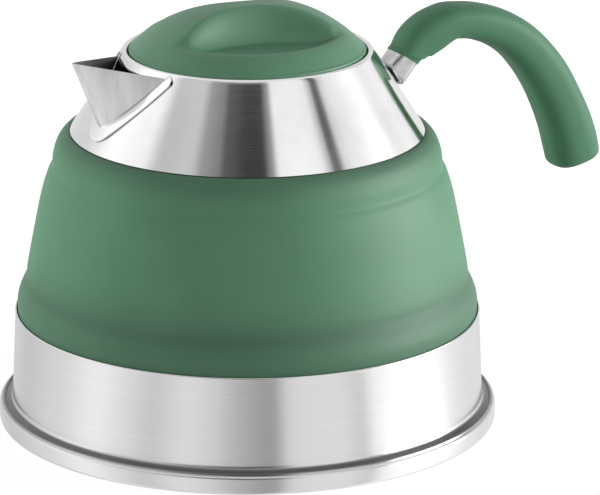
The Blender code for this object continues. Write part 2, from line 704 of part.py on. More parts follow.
def build_mount():
    """The bridge on the cone, the friction washer and the rivet, in the rivet's frame:
    Z runs out along the rivet and X down the cone."""
    leg = MOUNT_HALF_WIDTH + MOUNT_LEG_SPREAD
    side = [
        (leg + MOUNT_FOOT, FIT + MOUNT_SHEET - cone_drop(leg + MOUNT_FOOT)),
        (leg + MOUNT_FOOT / 2, FIT + MOUNT_SHEET - cone_drop(leg + MOUNT_FOOT / 2)),
        (leg + MOUNT_SHEET, FIT + MOUNT_SHEET - cone_drop(leg + MOUNT_SHEET)),
        (leg, MOUNT_HEIGHT / 2),
        (MOUNT_HALF_WIDTH, MOUNT_HEIGHT - MOUNT_SHEET / 2),
        (MOUNT_HALF_WIDTH - MOUNT_SHEET / 2, MOUNT_HEIGHT),
    ]
    outline = side + [(-y, z) for y, z in reversed(side)]
    count = len(outline)
    points = [(x, y, z) for x in (-MOUNT_LENGTH / 2, MOUNT_LENGTH / 2) for y, z in outline]
    faces = [(i, i + 1, count + i + 1, count + i) for i in range(count - 1)]
    bridge = mesh_object("handle_mount", points, [], faces, STEEL, RIVET_FRAME)
    thicken(bridge, MOUNT_SHEET)
    bore_radius = RIVET_RADIUS + FIT
    bore_foot = MOUNT_HEIGHT - MOUNT_SHEET - OVERRUN / 4
    bore = cylinder("mount_bore", bore_radius, bore_foot, MOUNT_HEIGHT + OVERRUN, parent=RIVET_FRAME)
    combine(bridge, bore, "DIFFERENCE")

    low = MOUNT_HEIGHT + FIT
    washer = [
        (bore_radius, low + WASHER_THICKNESS),
        (WASHER_RADIUS, low + WASHER_THICKNESS),
        (WASHER_RADIUS, low),
        (bore_radius, low),
    ]
    turned("swivel_washer", washer, BLACK, steps=SMALL_STEPS, parent=RIVET_FRAME)

    tail_top = MOUNT_HEIGHT - MOUNT_SHEET - FIT
    head_foot = FERRULE_FACE + FERRULE_SHEET + FIT
    rivet = [
        (0, head_foot + RIVET_HEAD_HEIGHT),
        (RIVET_HEAD_RADIUS / 2, head_foot + RIVET_HEAD_HEIGHT),
        (RIVET_HEAD_RADIUS, head_foot + RIVET_HEAD_HEIGHT / 2),
        (RIVET_HEAD_RADIUS, head_foot),
        (RIVET_RADIUS, head_foot),
        (RIVET_RADIUS, tail_top),
        (RIVET_HEAD_RADIUS, tail_top),
        (RIVET_HEAD_RADIUS, tail_top - RIVET_TAIL_HEIGHT / 2),
        (RIVET_HEAD_RADIUS / 2, tail_top - RIVET_TAIL_HEIGHT),
        (0, tail_top - RIVET_TAIL_HEIGHT),
    ]
    turned("swivel_rivet", rivet, STEEL, steps=SMALL_STEPS, parent=RIVET_FRAME)


FERRULE_FACE = MOUNT_HEIGHT + FIT + WASHER_THICKNESS + FIT
FERRULE_MOUTH_ANGLE = TILT + FERRULE_BEND
FERRULE_REACH = FERRULE_OUT * math.cos(TILT) - FERRULE_UP * math.sin(TILT)
FERRULE_RISE = FERRULE_OUT * math.sin(TILT) + FERRULE_UP * math.cos(TILT)


def ferrule_station(t, past=0):
    """Centre, heading, half length, half width and power of a section of the ferrule, in
    the handle's upright frame, from its flat face at the rivet to its end in the grip."""
    start = (FERRULE_FACE * math.cos(TILT), FERRULE_FACE * math.sin(TILT))
    end = (
        FERRULE_REACH + FERRULE_SEAT * math.cos(FERRULE_MOUTH_ANGLE),
        FERRULE_RISE + FERRULE_SEAT * math.sin(FERRULE_MOUTH_ANGLE),
    )
    reach = t * (1 + past / math.dist(start, end))
    centre = [a + (b - a) * reach for a, b in zip(start, end)]
    heading = TILT + (FERRULE_MOUTH_ANGLE - TILT) * t
    half_length = FERRULE_HALF_LENGTH + (FERRULE_MOUTH_HALF_LENGTH - FERRULE_HALF_LENGTH) * t
    half_width = FERRULE_HALF_WIDTH + (FERRULE_MOUTH_HALF_WIDTH - FERRULE_HALF_WIDTH) * t
    power = FERRULE_BASE_POWER + (FERRULE_MOUTH_POWER - FERRULE_BASE_POWER) * t
    return centre, heading, half_length, half_width, power


def ferrule_rings(grow, past):
    """Sections of the ferrule, each grown by the given amount. The first is smaller,
    which rounds the edge of its flat face."""
    rings = []
    for i in range(FERRULE_RINGS):
        centre, heading, length, width, power = ferrule_station(i / (FERRULE_RINGS - 1), past)
        more = grow if i else grow - FERRULE_BASE_ROUND
        rings.append(section_ring(centre, heading, length + more, width + more, power, FERRULE_POINTS))
    return rings


def grip_path(count):
    """Rows of (along, up, half thickness, half width) down the grip's centre line."""
    rows = []
    for along, up, thickness, width in GRIP_PATH_SHARES:
        rows.append(
            (
                FERRULE_REACH + GRIP_REACH * along,
                FERRULE_RISE + (GRIP_CREST if up > 0 else GRIP_DROP) * up,
                GRIP_HALF_THICKNESS * thickness,
                GRIP_HALF_WIDTH * width,
            )
        )
    return smooth_path(rows, count)


def headings(path):
    """Direction of the centre line at each row of a path."""
    step = np.gradient(path[:, :2], axis=0)
    return np.arctan2(step[:, 1], step[:, 0])


def tang_rings(grow):
    """Flat bar that starts inside the ferrule and follows the grip's centre line."""
    start, heading, _, ferrule_width, _ = ferrule_station(TANG_START_SHARE)
    path = grip_path(TANG_RINGS)[: round(TANG_RINGS * TANG_LENGTH_SHARE), :2]
    path = np.vstack([start, path])
    half_width = ferrule_width - FERRULE_SHEET - FIT + grow
    half = TANG_HALF_THICKNESS + grow
    turn = headings(path)
    turn[0] = heading
    ends = np.zeros(len(path))
    ends[-1] = grow
    rings = []
    for (x, z), angle, past in zip(path, turn, ends):
        x, z = x + past * math.cos(angle), z + past * math.sin(angle)
        across = (-math.sin(angle) * half, math.cos(angle) * half)
        corners = ((1, 1), (1, -1), (-1, -1), (-1, 1))
        rings.append([(x + a * across[0], b * half_width, z + a * across[1]) for a, b in corners])
    return rings


def build_handle():
    """Ferrule, tang and grip, in an upright frame on the rivet's axis."""
    ferrule = lofted("handle_ferrule", ferrule_rings(0, 0), STEEL, FERRULE_SHEET, (True, False), HANDLE)
    bore_low = FERRULE_FACE - OVERRUN / 4
    bore_high = FERRULE_FACE + FERRULE_SHEET + OVERRUN / 4
    bore = cylinder("ferrule_bore", RIVET_RADIUS + FIT, bore_low, bore_high, parent=RIVET_FRAME)
    combine(ferrule, bore, "DIFFERENCE")

    lofted("handle_tang", tang_rings(0), STEEL, parent=HANDLE)

    path = grip_path(GRIP_RINGS)
    turn = headings(path)
    turn[0] = FERRULE_MOUTH_ANGLE
    rings = [
        section_ring((x, z), heading, half_thickness, half_width, GRIP_POWER, GRIP_POINTS)
        for (x, z, half_thickness, half_width), heading in zip(path, turn)
    ]
    x, z, half_thickness, half_width = path[-1]
    for i in range(GRIP_END_RINGS):
        angle = math.pi / 2 * (i + 1) / GRIP_END_RINGS
        run = GRIP_END_ROUND * math.sin(angle)
        less = GRIP_END_ROUND * (1 - math.cos(angle))
        centre = (x + run * math.cos(turn[-1]), z + run * math.sin(turn[-1]))
        rings.append(
            section_ring(centre, turn[-1], half_thickness - less, half_width - less, GRIP_POWER, GRIP_POINTS)
        )
    grip = lofted("handle_grip", rings, GREEN, parent=HANDLE)
    socket = lofted("grip_socket", ferrule_rings(FIT, 2 * FIT), None, parent=HANDLE)
    combine(grip, as_cutter(socket), "DIFFERENCE")
    channel = lofted("grip_channel", tang_rings(FIT), None, parent=HANDLE)
    combine(grip, as_cutter(channel), "DIFFERENCE")


clear_scene()
PARTS = new_collection("collapsible_kettle")
CUTTERS = new_collection("cutters", hidden=True)
SHOULDER = new_empty("shoulder_slide")
LID = new_empty("lid_slide", parent=SHOULDER)
rivet_radius, rivet_height = on_cone(MOUNT_SLOPE, 0)
RIVET_FRAME = new_empty("rivet_axis", (rivet_radius, 0, rivet_height), math.pi / 2 - TILT, SHOULDER)
HANDLE = new_empty("handle_upright", (0, 0, 0), TILT - math.pi / 2, RIVET_FRAME)
build_base()
build_wall()
build_cone()
build_spout()
build_lid()
build_mount()
build_handle()
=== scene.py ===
"""Collapsible kettle: fine pieces, finishes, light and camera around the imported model.

Every piece is a surface worked out with numpy. Turned pieces are a profile of radius and
height swept round the axis, the spout and the lid are height or ruled surfaces on a grid,
and the handle's pieces are sections carried along a path. Lengths are in metres.
"""

import math

import bmesh
import bpy
import numpy as np
from mathutils import Euler, Matrix, Vector


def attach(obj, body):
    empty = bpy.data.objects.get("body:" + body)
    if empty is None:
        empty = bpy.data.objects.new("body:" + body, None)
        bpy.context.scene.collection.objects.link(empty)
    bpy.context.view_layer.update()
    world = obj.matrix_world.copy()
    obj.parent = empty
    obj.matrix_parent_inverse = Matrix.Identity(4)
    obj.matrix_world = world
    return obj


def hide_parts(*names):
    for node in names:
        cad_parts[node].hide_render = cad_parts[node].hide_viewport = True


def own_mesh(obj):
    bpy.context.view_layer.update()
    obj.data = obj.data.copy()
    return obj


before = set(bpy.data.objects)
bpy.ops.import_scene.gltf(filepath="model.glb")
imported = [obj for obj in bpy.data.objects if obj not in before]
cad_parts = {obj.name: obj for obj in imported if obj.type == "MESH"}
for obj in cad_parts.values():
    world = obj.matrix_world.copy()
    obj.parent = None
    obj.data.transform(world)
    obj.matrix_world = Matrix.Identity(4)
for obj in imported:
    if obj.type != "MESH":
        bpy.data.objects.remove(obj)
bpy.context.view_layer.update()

# The first values of each group are shared with the CAD model.
FIT = 0.0003  # gap between two pieces that seat on each other

# Base band: foot, sweep, taper, turned lip, the bead over the foot, and painted shade in the crease
# between band and bead
FOOT_RADIUS = 0.1025
FOOT_HEIGHT = 0.0076
FOOT_ROUND = 0.0014
FOOT_HEM = 0.0042
LEDGE = 0.0084
BAND_SWEEP = 0.0026
BAND_BOTTOM_RADIUS = 0.0970
BAND_TOP_RADIUS = 0.0955
BAND_HEIGHT = 0.0464
BAND_SHEET = 0.0007
LIP_ROUND = 0.00055
LIP_BULGE = 0.00010
LIP_FOOT = (0.00004, 0.0013)
BEAD_GAP = 0.00025
BEAD_CREASE = 0.00035
BEAD_DROP = 0.00055
BEAD_ROUND = 0.00062
BEAD_END = (0.0001, 0.0012)
# Where the painted shade in that crease is centred, and how far it reaches
GROOVE_SHADE_INSET = 0.0004
GROOVE_SHADE_REACH = 0.0024

# Heat disc, its cover and the floor
COVER_SHEET = 0.0005
SPREADER_RADIUS = 0.0880
SPREADER_LOW = COVER_SHEET + FIT
SPREADER_HIGH = 0.0042
PAN_SHEET = 0.0007
PAN_ROUND = 0.0009
PAN_STEP = 0.0030
FLOOR_TOP = SPREADER_HIGH + FIT + PAN_SHEET

# Silicone wall and its clamp rings
WALL_HEIGHT = 0.0754
WALL_THICKNESS = 0.0020
LOWER_TUCK = 0.0090
UPPER_TUCK = 0.0060
CLAMP_SHEET = 0.0008
CLAMP_SHORT = 0.0005
# The shown wall goes this far under the cone's edge, less far than the CAD's. A longer tuck
# would be squashed into the clamp ring.
SHOWN_TUCK = 0.0008
# Down the wall: (share of its height, share of its spread)
WALL_SHAPE = (
    (0.985, 0.100), (0.945, 0.215), (0.880, 0.294), (0.812, 0.322), (0.794, 0.345),
    (0.757, 0.408), (0.640, 0.522), (0.446, 0.651), (0.260, 0.766), (0.205, 0.789),
    (0.172, 0.818), (0.140, 0.868), (0.105, 0.918), (0.060, 0.955),
)
# Painted shade on the silicone, darker under the cone's edge and in the folds near the band:
# (share of the wall's height, share of the shade)
FOLD_SHADE = (
    (0.0, 0.9), (0.05, 0.7), (0.12, 0.65), (0.15, 0.85), (0.18, 1.0), (0.21, 0.75),
    (0.26, 0.4), (0.34, 0.12), (0.42, 0.0), (0.80, 0.0), (0.88, 0.12), (0.93, 0.45), (0.99, 1.0),
)

# Shoulder cone, with its rolled rim and the lid's collar
TILT = 0.568576
CONE_BOTTOM_RADIUS = 0.0723
CONE_BOTTOM = BAND_HEIGHT + WALL_HEIGHT
CONE_HEIGHT = 0.0337
CONE_SHEET = 0.0006
MOUTH_RADIUS = 0.0486
RIM_CREST = CONE_BOTTOM + CONE_HEIGHT
RIM_ROUND = 0.0014
COLLAR_LEDGE = 0.1491
COLLAR_ROUND = 0.0010
COLLAR_WIDTH = 0.0031

# Pouring hole and spout. The creases say how sharply the V of the hole, the seam and the
# pouring edge turn at the middle. The flange runs past the seam's ends, in shares of half
# the V, and is rounded from its end share on.
SPOUT_SHEET = 0.0007
SPOUT_TIP = (-0.0797, 0.1592)
SPOUT_FOOT = 0.1311
SPOUT_TOP = 0.1536
SPOUT_HALF_ANGLE = math.radians(23.0)
HOLE_FOOT = 0.1326
HOLE_TOP = 0.1520
HOLE_HALF_WIDTH = 0.01921
FLANGE_WIDTH = 0.0039
FLANGE_FOOT_MORE = 0.0019
HOLE_CREASE = 0.03
SEAM_CREASE = 0.15
EDGE_CREASE = 0.07
FLANGE_PAST = 1.07
FLANGE_END_SHARE = 0.965
FLANGE_FOOT_SHARE = 0.16

# Lid: seal, plate, cover, boss and screw. The scoop's two banks blend, and its edge is
# rounded, by shares of a bank.
SEAL_THICKNESS = 0.0020
SEAL_LOW = COLLAR_LEDGE + FIT
SEAL_HIGH = SEAL_LOW + SEAL_THICKNESS
SEAL_INNER = 0.0452
SEAL_OUTER = MOUTH_RADIUS - FIT
SEAL_CHAMFER = 0.0010
PLATE_SHEET = 0.0006
PLATE_FLANGE = SEAL_HIGH + FIT
PLATE_BOTTOM = 0.1475
PLATE_RADIUS = 0.0478
PLATE_ROUND = 0.0015
LID_GAP = 0.0004
LID_RADIUS = MOUTH_RADIUS - LID_GAP
LID_RISE = 0.0190
LID_EDGE = 0.1553
LID_SKIRT = PLATE_FLANGE + PLATE_SHEET + FIT
LID_WALL = 0.0022
LID_DOME_POWER = 2.65
LID_TURN = math.radians(-11)
RIDGE_HALF_WIDTH = 0.0062
RIDGE_FLARE = 0.0100
RIDGE_FLARE_END = 0.0300
RIDGE_BANK = 0.0080
SCOOP_RADIUS = 0.0402
SCOOP_RIM_BANK = 0.0100
SCOOP_FLOOR = 0.1605
SCOOP_BLEND = 0.30
SCOOP_EASE = 0.27
SCREW_RADIUS = 0.0015
SCREW_TOP = 0.1595
SCREW_HEAD_RADIUS = 0.0034
SCREW_HEAD_HEIGHT = 0.0016
SCREW_SEAL_THICKNESS = 0.0008
SCREW_SEAL_HIGH = PLATE_BOTTOM - FIT
SCREW_SEAL_LOW = SCREW_SEAL_HIGH - SCREW_SEAL_THICKNESS
SCREW_HEAD_TOP = SCREW_SEAL_LOW - FIT
BOSS_RADIUS = 0.0040
BOSS_FOOT = PLATE_BOTTOM + PLATE_SHEET + FIT
BOSS_BORE = SCREW_RADIUS + FIT
BORE_TOP = SCREW_TOP + FIT

# Swivel, in heights along the rivet from its foot on the cone
RIVET_FOOT = (0.06454653, 0, 0.1339344)
MOUNT_SHEET = 0.0007
MOUNT_HEIGHT = 0.0022
MOUNT_LENGTH = 0.0100
MOUNT_HALF_WIDTH = 0.0060
MOUNT_SPREAD = 0.0010
MOUNT_FOOT = 0.0042
WASHER_RADIUS = 0.0044
WASHER_THICKNESS = 0.0006
WASHER_LOW = MOUNT_HEIGHT + FIT
WASHER_HIGH = WASHER_LOW + WASHER_THICKNESS
FERRULE_SHEET = 0.0007
FERRULE_FACE = WASHER_HIGH + FIT
RIVET_RADIUS = 0.0016
RIVET_HEAD_RADIUS = 0.0031
RIVET_HEAD_HEIGHT = 0.0011
RIVET_HEAD_FOOT = FERRULE_FACE + FERRULE_SHEET + FIT
RIVET_TAIL = MOUNT_HEIGHT - MOUNT_SHEET - FIT
RIVET_TAIL_HEIGHT = 0.0008

# Handle, from the rivet's foot. Both ends of the ferrule have a half length, a half width
# and the power of their section. The grip's heading leaves the mouth's within its lead.
FERRULE_END = (0.010758, 0.009722)
FERRULE_MOUTH_ANGLE = TILT + math.radians(37.4)
FERRULE_SEAT = 0.0030
FERRULE_BASE = (0.0058, 0.0056, 4.5)
FERRULE_MOUTH = (0.0054, 0.0074, 2.6)
GRIP_REACH = 0.0823
GRIP_CREST = 0.0119
GRIP_DROP = 0.0535
GRIP_HALF_THICKNESS = 0.0109
GRIP_HALF_WIDTH = 0.0110
GRIP_POWER = 2.7
GRIP_LEAD_SHARE = 1 / 18
GRIP_END_ROUND = 0.0034
GRIP_LIP_ROUND = 0.0007
TANG_HALF_THICKNESS = 0.0012
TANG_POWER = 16
TANG_START_SHARE = 0.45
TANG_LENGTH_SHARE = 0.66
# Shares along the grip: (along, up or down, thickness, width)
GRIP_PATH = (
    (0, 0, 0.59, 0.74), (0.051, 0.373, 0.734, 0.8), (0.125, 0.684, 0.777, 0.86),
    (0.222, 0.953, 0.691, 0.9), (0.3, 0.957, 0.67, 0.91), (0.399, 0.827, 0.702, 0.92),
    (0.52, 0.508, 0.755, 0.93), (0.635, 0.003, 0.798, 0.94), (0.734, -0.151, 0.851, 0.95),
    (0.819, -0.326, 0.899, 0.96), (0.887, -0.517, 0.926, 0.98), (0.944, -0.711, 0.968, 1),
    (0.979, -0.872, 1, 1), (1, -1, 1, 0.96),
)

# Points round a turned piece
STEPS = 216
RING_STEPS = 144
PIN_STEPS = 64
SMALL_STEPS = 48


# Lines and surfaces


def arc(centre, radius, start, end, count):
    """Points round a circle: centre plus radius times the cosine and sine of each angle."""
    turn = np.radians(np.linspace(start, end, count))
    return np.column_stack([centre[0] + radius * np.cos(turn), centre[1] + radius * np.sin(turn)])


def joined(*parts):
    """One line out of points and lines."""
    return np.vstack([np.atleast_2d(np.array(part, float)) for part in parts])


def curve(rows, count):
    """Catmull-Rom curve through rows of numbers: each stretch is the cubic that meets its
    two rows with slopes of half the step between their neighbours. It is read at equal
    steps of length in its first two columns."""
    rows = np.array(rows, float)
    padded = np.vstack([2 * rows[0] - rows[1], rows, 2 * rows[-1] - rows[-2]])
    a, b, c, d = (padded[i : len(padded) - 3 + i, None, :] for i in range(4))
    t = (np.arange(24) / 24)[None, :, None]
    fine = 0.5 * (2 * b + (c - a) * t + (2 * a - 5 * b + 4 * c - d) * t**2)
    fine += 0.5 * (3 * b - a - 3 * c + d) * t**3
    fine = np.vstack([fine.reshape(-1, rows.shape[1]), rows[-1]])
    length = np.concatenate([[0], np.cumsum(np.hypot(*np.diff(fine[:, :2], axis=0).T))])
    even = np.linspace(0, length[-1], count)
    return np.stack([np.interp(even, length, column) for column in fine.T], axis=1)


def offset(outline, amount):
    """A line moved sideways to its right: each point goes along the mean of the normals
    of its two stretches, further where they turn so that both keep the distance."""
    step = np.diff(outline, axis=0)
    step /= np.linalg.norm(step, axis=1)[:, None]
    right = np.column_stack([step[:, 1], -step[:, 0]])
    before, after = np.vstack([right[:1], right]), np.vstack([right, right[-1:]])
    middle = before + after
    middle /= np.linalg.norm(middle, axis=1)[:, None]
    stretch = amount / np.maximum((middle * before).sum(1), 0.4)
    return outline + middle * stretch[:, None]


def sheet(outline, thickness, start_round=True, end_round=True):
    """Closed section of a sheet whose outer face is the outline: the outline, a half
    round at its end, the same line moved to its right, and a half round at its start."""
    outline = np.array(outline, float)
    for end, neighbour, rounded in ((0, 1, start_round), (-1, -2, end_round)):
        if rounded:
            inward = outline[neighbour] - outline[end]
            outline[end] += inward / np.linalg.norm(inward) * thickness / 2
    inner = offset(outline, thickness)
    loop = [outline]
    for end, neighbour, rounded in ((-1, -2, end_round), (0, 1, start_round)):
        if rounded:
            centre = (outline[end] + inner[end]) / 2
            across = (outline[end] - inner[end]) / 2
            ahead = outline[end] - outline[neighbour]
            ahead *= thickness / 2 / np.linalg.norm(ahead)
            turn = np.linspace(0, math.pi, 7)[1:-1, None]
            bend = centre + across * np.cos(turn) + ahead * np.sin(turn)
            loop.append(bend if end else bend[::-1])
        if end:
            loop.append(inner[::-1])
    return np.vstack(loop)


def grid_faces(rows, columns, wrap_rows=False, wrap_columns=True):
    """Corners of the faces of a grid, row by row. Rows and columns that wrap close."""
    row = np.arange(rows if wrap_rows else rows - 1)[:, None]
    column = np.arange(columns if wrap_columns else columns - 1)[None, :]
    next_row, next_column = (row + 1) % rows, (column + 1) % columns
    corners = (
        row * columns + column,
        row * columns + next_column,
        next_row * columns + next_column,
        next_row * columns + column,
    )
    return np.stack(corners, axis=-1)


def skin(name, grid, wrap_rows=False):
    """Mesh on a grid of points whose columns run round and close. Rows that wrap close
    too. Points that fall together, as at a pole, become one."""
    rows, columns = np.shape(grid)[:2]
    return mesh_piece(name, grid, grid_faces(rows, columns, wrap_rows))


def mesh_piece(name, points, faces, **marks):
    """A mesh of points and four-cornered faces, with its marks."""
    mesh = bpy.data.meshes.new(name)
    mesh.from_pydata(np.reshape(points, (-1, 3)).tolist(), [], np.reshape(faces, (-1, 4)).tolist())
    obj = bpy.data.objects.new(name, mesh)
    for mark_name, values in marks.items():
        mark(obj, mark_name, values)
    bpy.context.scene.collection.objects.link(obj)
    weld(obj)
    return obj


def mark(obj, name, values):
    """One number for each point of a piece, which a finish reads by its name."""
    attribute = obj.data.attributes.new(name, "FLOAT", "POINT")
    attribute.data.foreach_set("value", np.ravel(values))


def points_of(obj):
    """Columns of the x, y and z of a piece's points."""
    flat = np.empty(len(obj.data.vertices) * 3)
    obj.data.vertices.foreach_get("co", flat)
    return flat.reshape(-1, 3).T


def reworked(obj, change):
    """A change of a piece's mesh that bmesh makes."""
    work = bmesh.new()
    work.from_mesh(obj.data)
    change(work)
    work.to_mesh(obj.data)
    work.free()


def weld(obj):
    """Points that fall together become one."""
    reworked(obj, lambda work: bmesh.ops.remove_doubles(work, verts=work.verts, dist=2e-6))


def outward(obj):
    """Turns every face of a closed piece outwards."""
    reworked(obj, lambda work: bmesh.ops.recalc_face_normals(work, faces=work.faces))


def sheeted(obj, thickness):
    """A wall of even thickness under a face, made final."""
    solid = obj.modifiers.new("sheet", "SOLIDIFY")
    solid.thickness = thickness
    solid.offset = -1
    solid.use_even_offset = True
    settle(obj)


def eased(obj, width, segments=2, angle=40):
    """Small rounds on the edges that turn more than the angle, made final."""
    bevel = obj.modifiers.new("ease", "BEVEL")
    bevel.width = width
    bevel.segments = segments
    bevel.limit_method = "ANGLE"
    bevel.angle_limit = math.radians(angle)
    settle(obj)


def settle(obj):
    """The piece's modifiers worked into its mesh."""
    graph = bpy.context.evaluated_depsgraph_get()
    mesh = bpy.data.meshes.new_from_object(obj.evaluated_get(graph))
    obj.modifiers.clear()
    obj.data = mesh


def turned(name, loop, steps=STEPS):
    """Closed profile swept round the axis: a point at (radius, height) goes to radius
    times the cosine and sine of each angle, at that height."""
    loop = np.array(loop, float)
    after = np.roll(loop, -1, axis=0)
    if (loop[:, 0] * after[:, 1] - after[:, 0] * loop[:, 1]).sum() < 0:
        loop = loop[::-1]
    turn = np.arange(steps) * math.tau / steps
    radius = np.maximum(loop[:, 0, None], 0)
    height = np.broadcast_to(loop[:, 1, None], (len(loop), steps))
    grid = np.stack([radius * np.cos(turn), radius * np.sin(turn), height], axis=-1)
    return skin(name, grid, wrap_rows=True)


def eased_ring(name, loop, width, steps=RING_STEPS, segments=2, angle=40):
    """A turned ring with small rounds on its edges."""
    ring = turned(name, loop, steps)
    eased(ring, width, segments, angle)
    return ring


def superellipse(half_along, half_across, power, count):
    """Points round a section between an ellipse and a rectangle: the half sizes times the
    cosine and sine raised to two over the power, with their signs."""
    turn = np.arange(count) * math.tau / count
    cosine, sine = np.cos(turn), np.sin(turn)
    along = half_along * np.sign(cosine) * np.abs(cosine) ** (2 / power)
    across = half_across * np.sign(sine) * np.abs(sine) ** (2 / power)
    return along, across


def section(centre, heading, half_thickness, half_width, power, count):
    """A section in the XZ plane: its thickness lies square to the heading, its width
    along Y."""
    along, across = superellipse(half_thickness, half_width, power, count)
    x = centre[0] - along * math.sin(heading)
    z = centre[1] + along * math.cos(heading)
    return np.column_stack([x, -across, z])


def on_cone(slope, out):
    """Radius and height of a point that far up the cone's wall and that far out of it."""
    radius = CONE_BOTTOM_RADIUS - slope * math.sin(TILT) + out * math.cos(TILT)
    return radius, CONE_BOTTOM + slope * math.cos(TILT) + out * math.sin(TILT)


def cone_radius(height):
    """The cone's outer radius, which falls with the height by the tangent of its tilt."""
    return CONE_BOTTOM_RADIUS - (height - CONE_BOTTOM) * math.tan(TILT)


def round_cone(turn, radius, height):
    """Points at a radius and height round the axis, with the spout's side at a turn of 0."""
    return np.stack([-radius * np.cos(turn), -radius * np.sin(turn), height], axis=-1)


# Base and wall


def base_band():
    """Sheet profile: lip, tapered band, sweep, a bead between two creases, rolled foot.
    The mark of its painted shade, in the crease by the bead, is 1 less the square of the
    distance from its centre over its reach."""
    sweep = (BAND_BOTTOM_RADIUS + BAND_SWEEP, LEDGE + BAND_SWEEP)
    roll = FOOT_RADIUS - FOOT_ROUND
    bead_start = sweep[0] + BEAD_GAP
    outline = joined(
        arc((BAND_TOP_RADIUS + LIP_BULGE - LIP_ROUND, BAND_HEIGHT - LIP_ROUND), LIP_ROUND, 90, -25, 8),
        (BAND_TOP_RADIUS - LIP_FOOT[0], BAND_HEIGHT - LIP_FOOT[1]),
        arc(sweep, BAND_SWEEP, 180, 262, 12),
        (bead_start, LEDGE - BEAD_CREASE),
        arc(((bead_start + roll) / 2, LEDGE - BEAD_DROP), BEAD_ROUND, 140, 40, 7),
        (roll + BEAD_END[0], LEDGE - BEAD_END[1]),
        arc((roll, FOOT_HEIGHT - FOOT_ROUND), FOOT_ROUND, 75, 0, 9),
        arc((roll, FOOT_ROUND), FOOT_ROUND, 0, -90, 9),
        (FOOT_RADIUS - FOOT_HEM, 0),
    )
    band = turned("spun_base_band", sheet(outline, BAND_SHEET, start_round=False), 360)
    x, y, height = points_of(band)
    # the mark of the painted shade in the crease between band and bead
    away = np.hypot(np.hypot(x, y) - (sweep[0] - GROOVE_SHADE_INSET), height - LEDGE) / GROOVE_SHADE_REACH
    mark(band, "painted_groove_shade", np.clip(1 - away**2, 0, 1))
    return band


def floor_pan():
    """Sheet profile: flat floor, slope up over the band's ledge, and a turned-down rim."""
    outer = FOOT_RADIUS - BAND_SHEET - FIT
    rim = FOOT_HEIGHT - BAND_SHEET - FIT
    step = BAND_BOTTOM_RADIUS - BAND_SHEET - FIT
    outline = joined(
        (0, FLOOR_TOP),
        (step - PAN_STEP, FLOOR_TOP),
        (step, rim),
        arc((outer - PAN_ROUND, rim - PAN_ROUND), PAN_ROUND, 90, 0, 6),
        (outer, FOOT_ROUND),
    )
    return turned("steel_floor_pan", sheet(outline, PAN_SHEET, start_round=False))


def heat_spreader():
    """A disc with rounded edges."""
    ease = 0.0004
    loop = joined(
        (0, SPREADER_LOW),
        arc((SPREADER_RADIUS - ease, SPREADER_LOW + ease), ease, -90, 0, 4),
        arc((SPREADER_RADIUS - ease, SPREADER_HIGH - ease), ease, 0, 90, 4),
        (0, SPREADER_HIGH),
    )
    return turned("aluminium_heat_disc", loop)


def spreader_cover():
    """Sheet profile: a shallow cup round the disc."""
    bend = COVER_SHEET + FIT
    outline = joined(
        (SPREADER_RADIUS + bend, SPREADER_HIGH),
        arc((SPREADER_RADIUS, bend), bend, 0, -90, 6),
        (0, 0),
    )
    return turned("heat_disc_cover", sheet(outline, COVER_SHEET, end_round=False))


def silicone_wall():
    """Folding wall: its outer face runs from the tuck inside the cone, through a smooth
    curve of shares between the cone's edge and the band, to the tuck inside the band. The
    mark of its painted shade is read from a table by the height."""
    depth = CONE_SHEET + FIT
    band_side = BAND_TOP_RADIUS - BAND_SHEET - FIT
    spread = BAND_TOP_RADIUS - CONE_BOTTOM_RADIUS
    low = BAND_HEIGHT - LOWER_TUCK
    shape = np.array(WALL_SHAPE)
    shown = np.column_stack(
        [CONE_BOTTOM_RADIUS + spread * shape[:, 1], BAND_HEIGHT + WALL_HEIGHT * shape[:, 0]]
    )
    shown = joined(on_cone(-2 * FIT, FIT), shown, (band_side, BAND_HEIGHT + FIT))
    outline = joined(
        on_cone(SHOWN_TUCK, -depth), on_cone(-FIT, -depth), curve(shown, 150), (band_side, low)
    )
    wall = turned("folding_silicone_wall", sheet(outline, WALL_THICKNESS, False, False), 240)
    # the mark of the painted shade, by the share of the wall's height
    share = (points_of(wall)[2] - BAND_HEIGHT) / WALL_HEIGHT
    mark(wall, "painted_fold_shade", np.interp(share, *np.array(FOLD_SHADE).T))
    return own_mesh(wall)


def lower_clamp():
    """Ring with an L section: an upright behind the wall's edge, and a flange under it
    that reaches to the band, which is a little wider there than at its top."""
    band_more = 0.0003
    outer = BAND_TOP_RADIUS - BAND_SHEET - WALL_THICKNESS - 2 * FIT
    inner = outer - CLAMP_SHEET
    high, flange = BAND_HEIGHT - CLAMP_SHORT, BAND_HEIGHT - LOWER_TUCK - FIT
    reach = BAND_TOP_RADIUS + band_more - BAND_SHEET - FIT
    loop = [
        (inner, high), (outer, high), (outer, flange), (reach, flange),
        (reach, flange - CLAMP_SHEET), (inner, flange - CLAMP_SHEET),
    ]
    return eased_ring("lower_clamp", loop, 0.0002)


def upper_clamp():
    """The same along the cone: a strip behind the wall's edge, and a flange over it."""
    near = CONE_SHEET + FIT
    face = near + WALL_THICKNESS + FIT
    back, step = face + CLAMP_SHEET, UPPER_TUCK + FIT
    loop = [
        on_cone(step + CLAMP_SHEET, -back), on_cone(step + CLAMP_SHEET, -near),
        on_cone(step, -near), on_cone(step, -face),
        on_cone(CLAMP_SHORT, -face), on_cone(CLAMP_SHORT, -back),
    ]
    return eased_ring("upper_clamp", loop, 0.0002)


# Shoulder and spout


def fold_line(side, crease):
    """From 0 at the crease to 1 at either end: a hyperbola, round at the crease."""
    return (np.hypot(side, crease) - crease) / (math.hypot(1, crease) - crease)


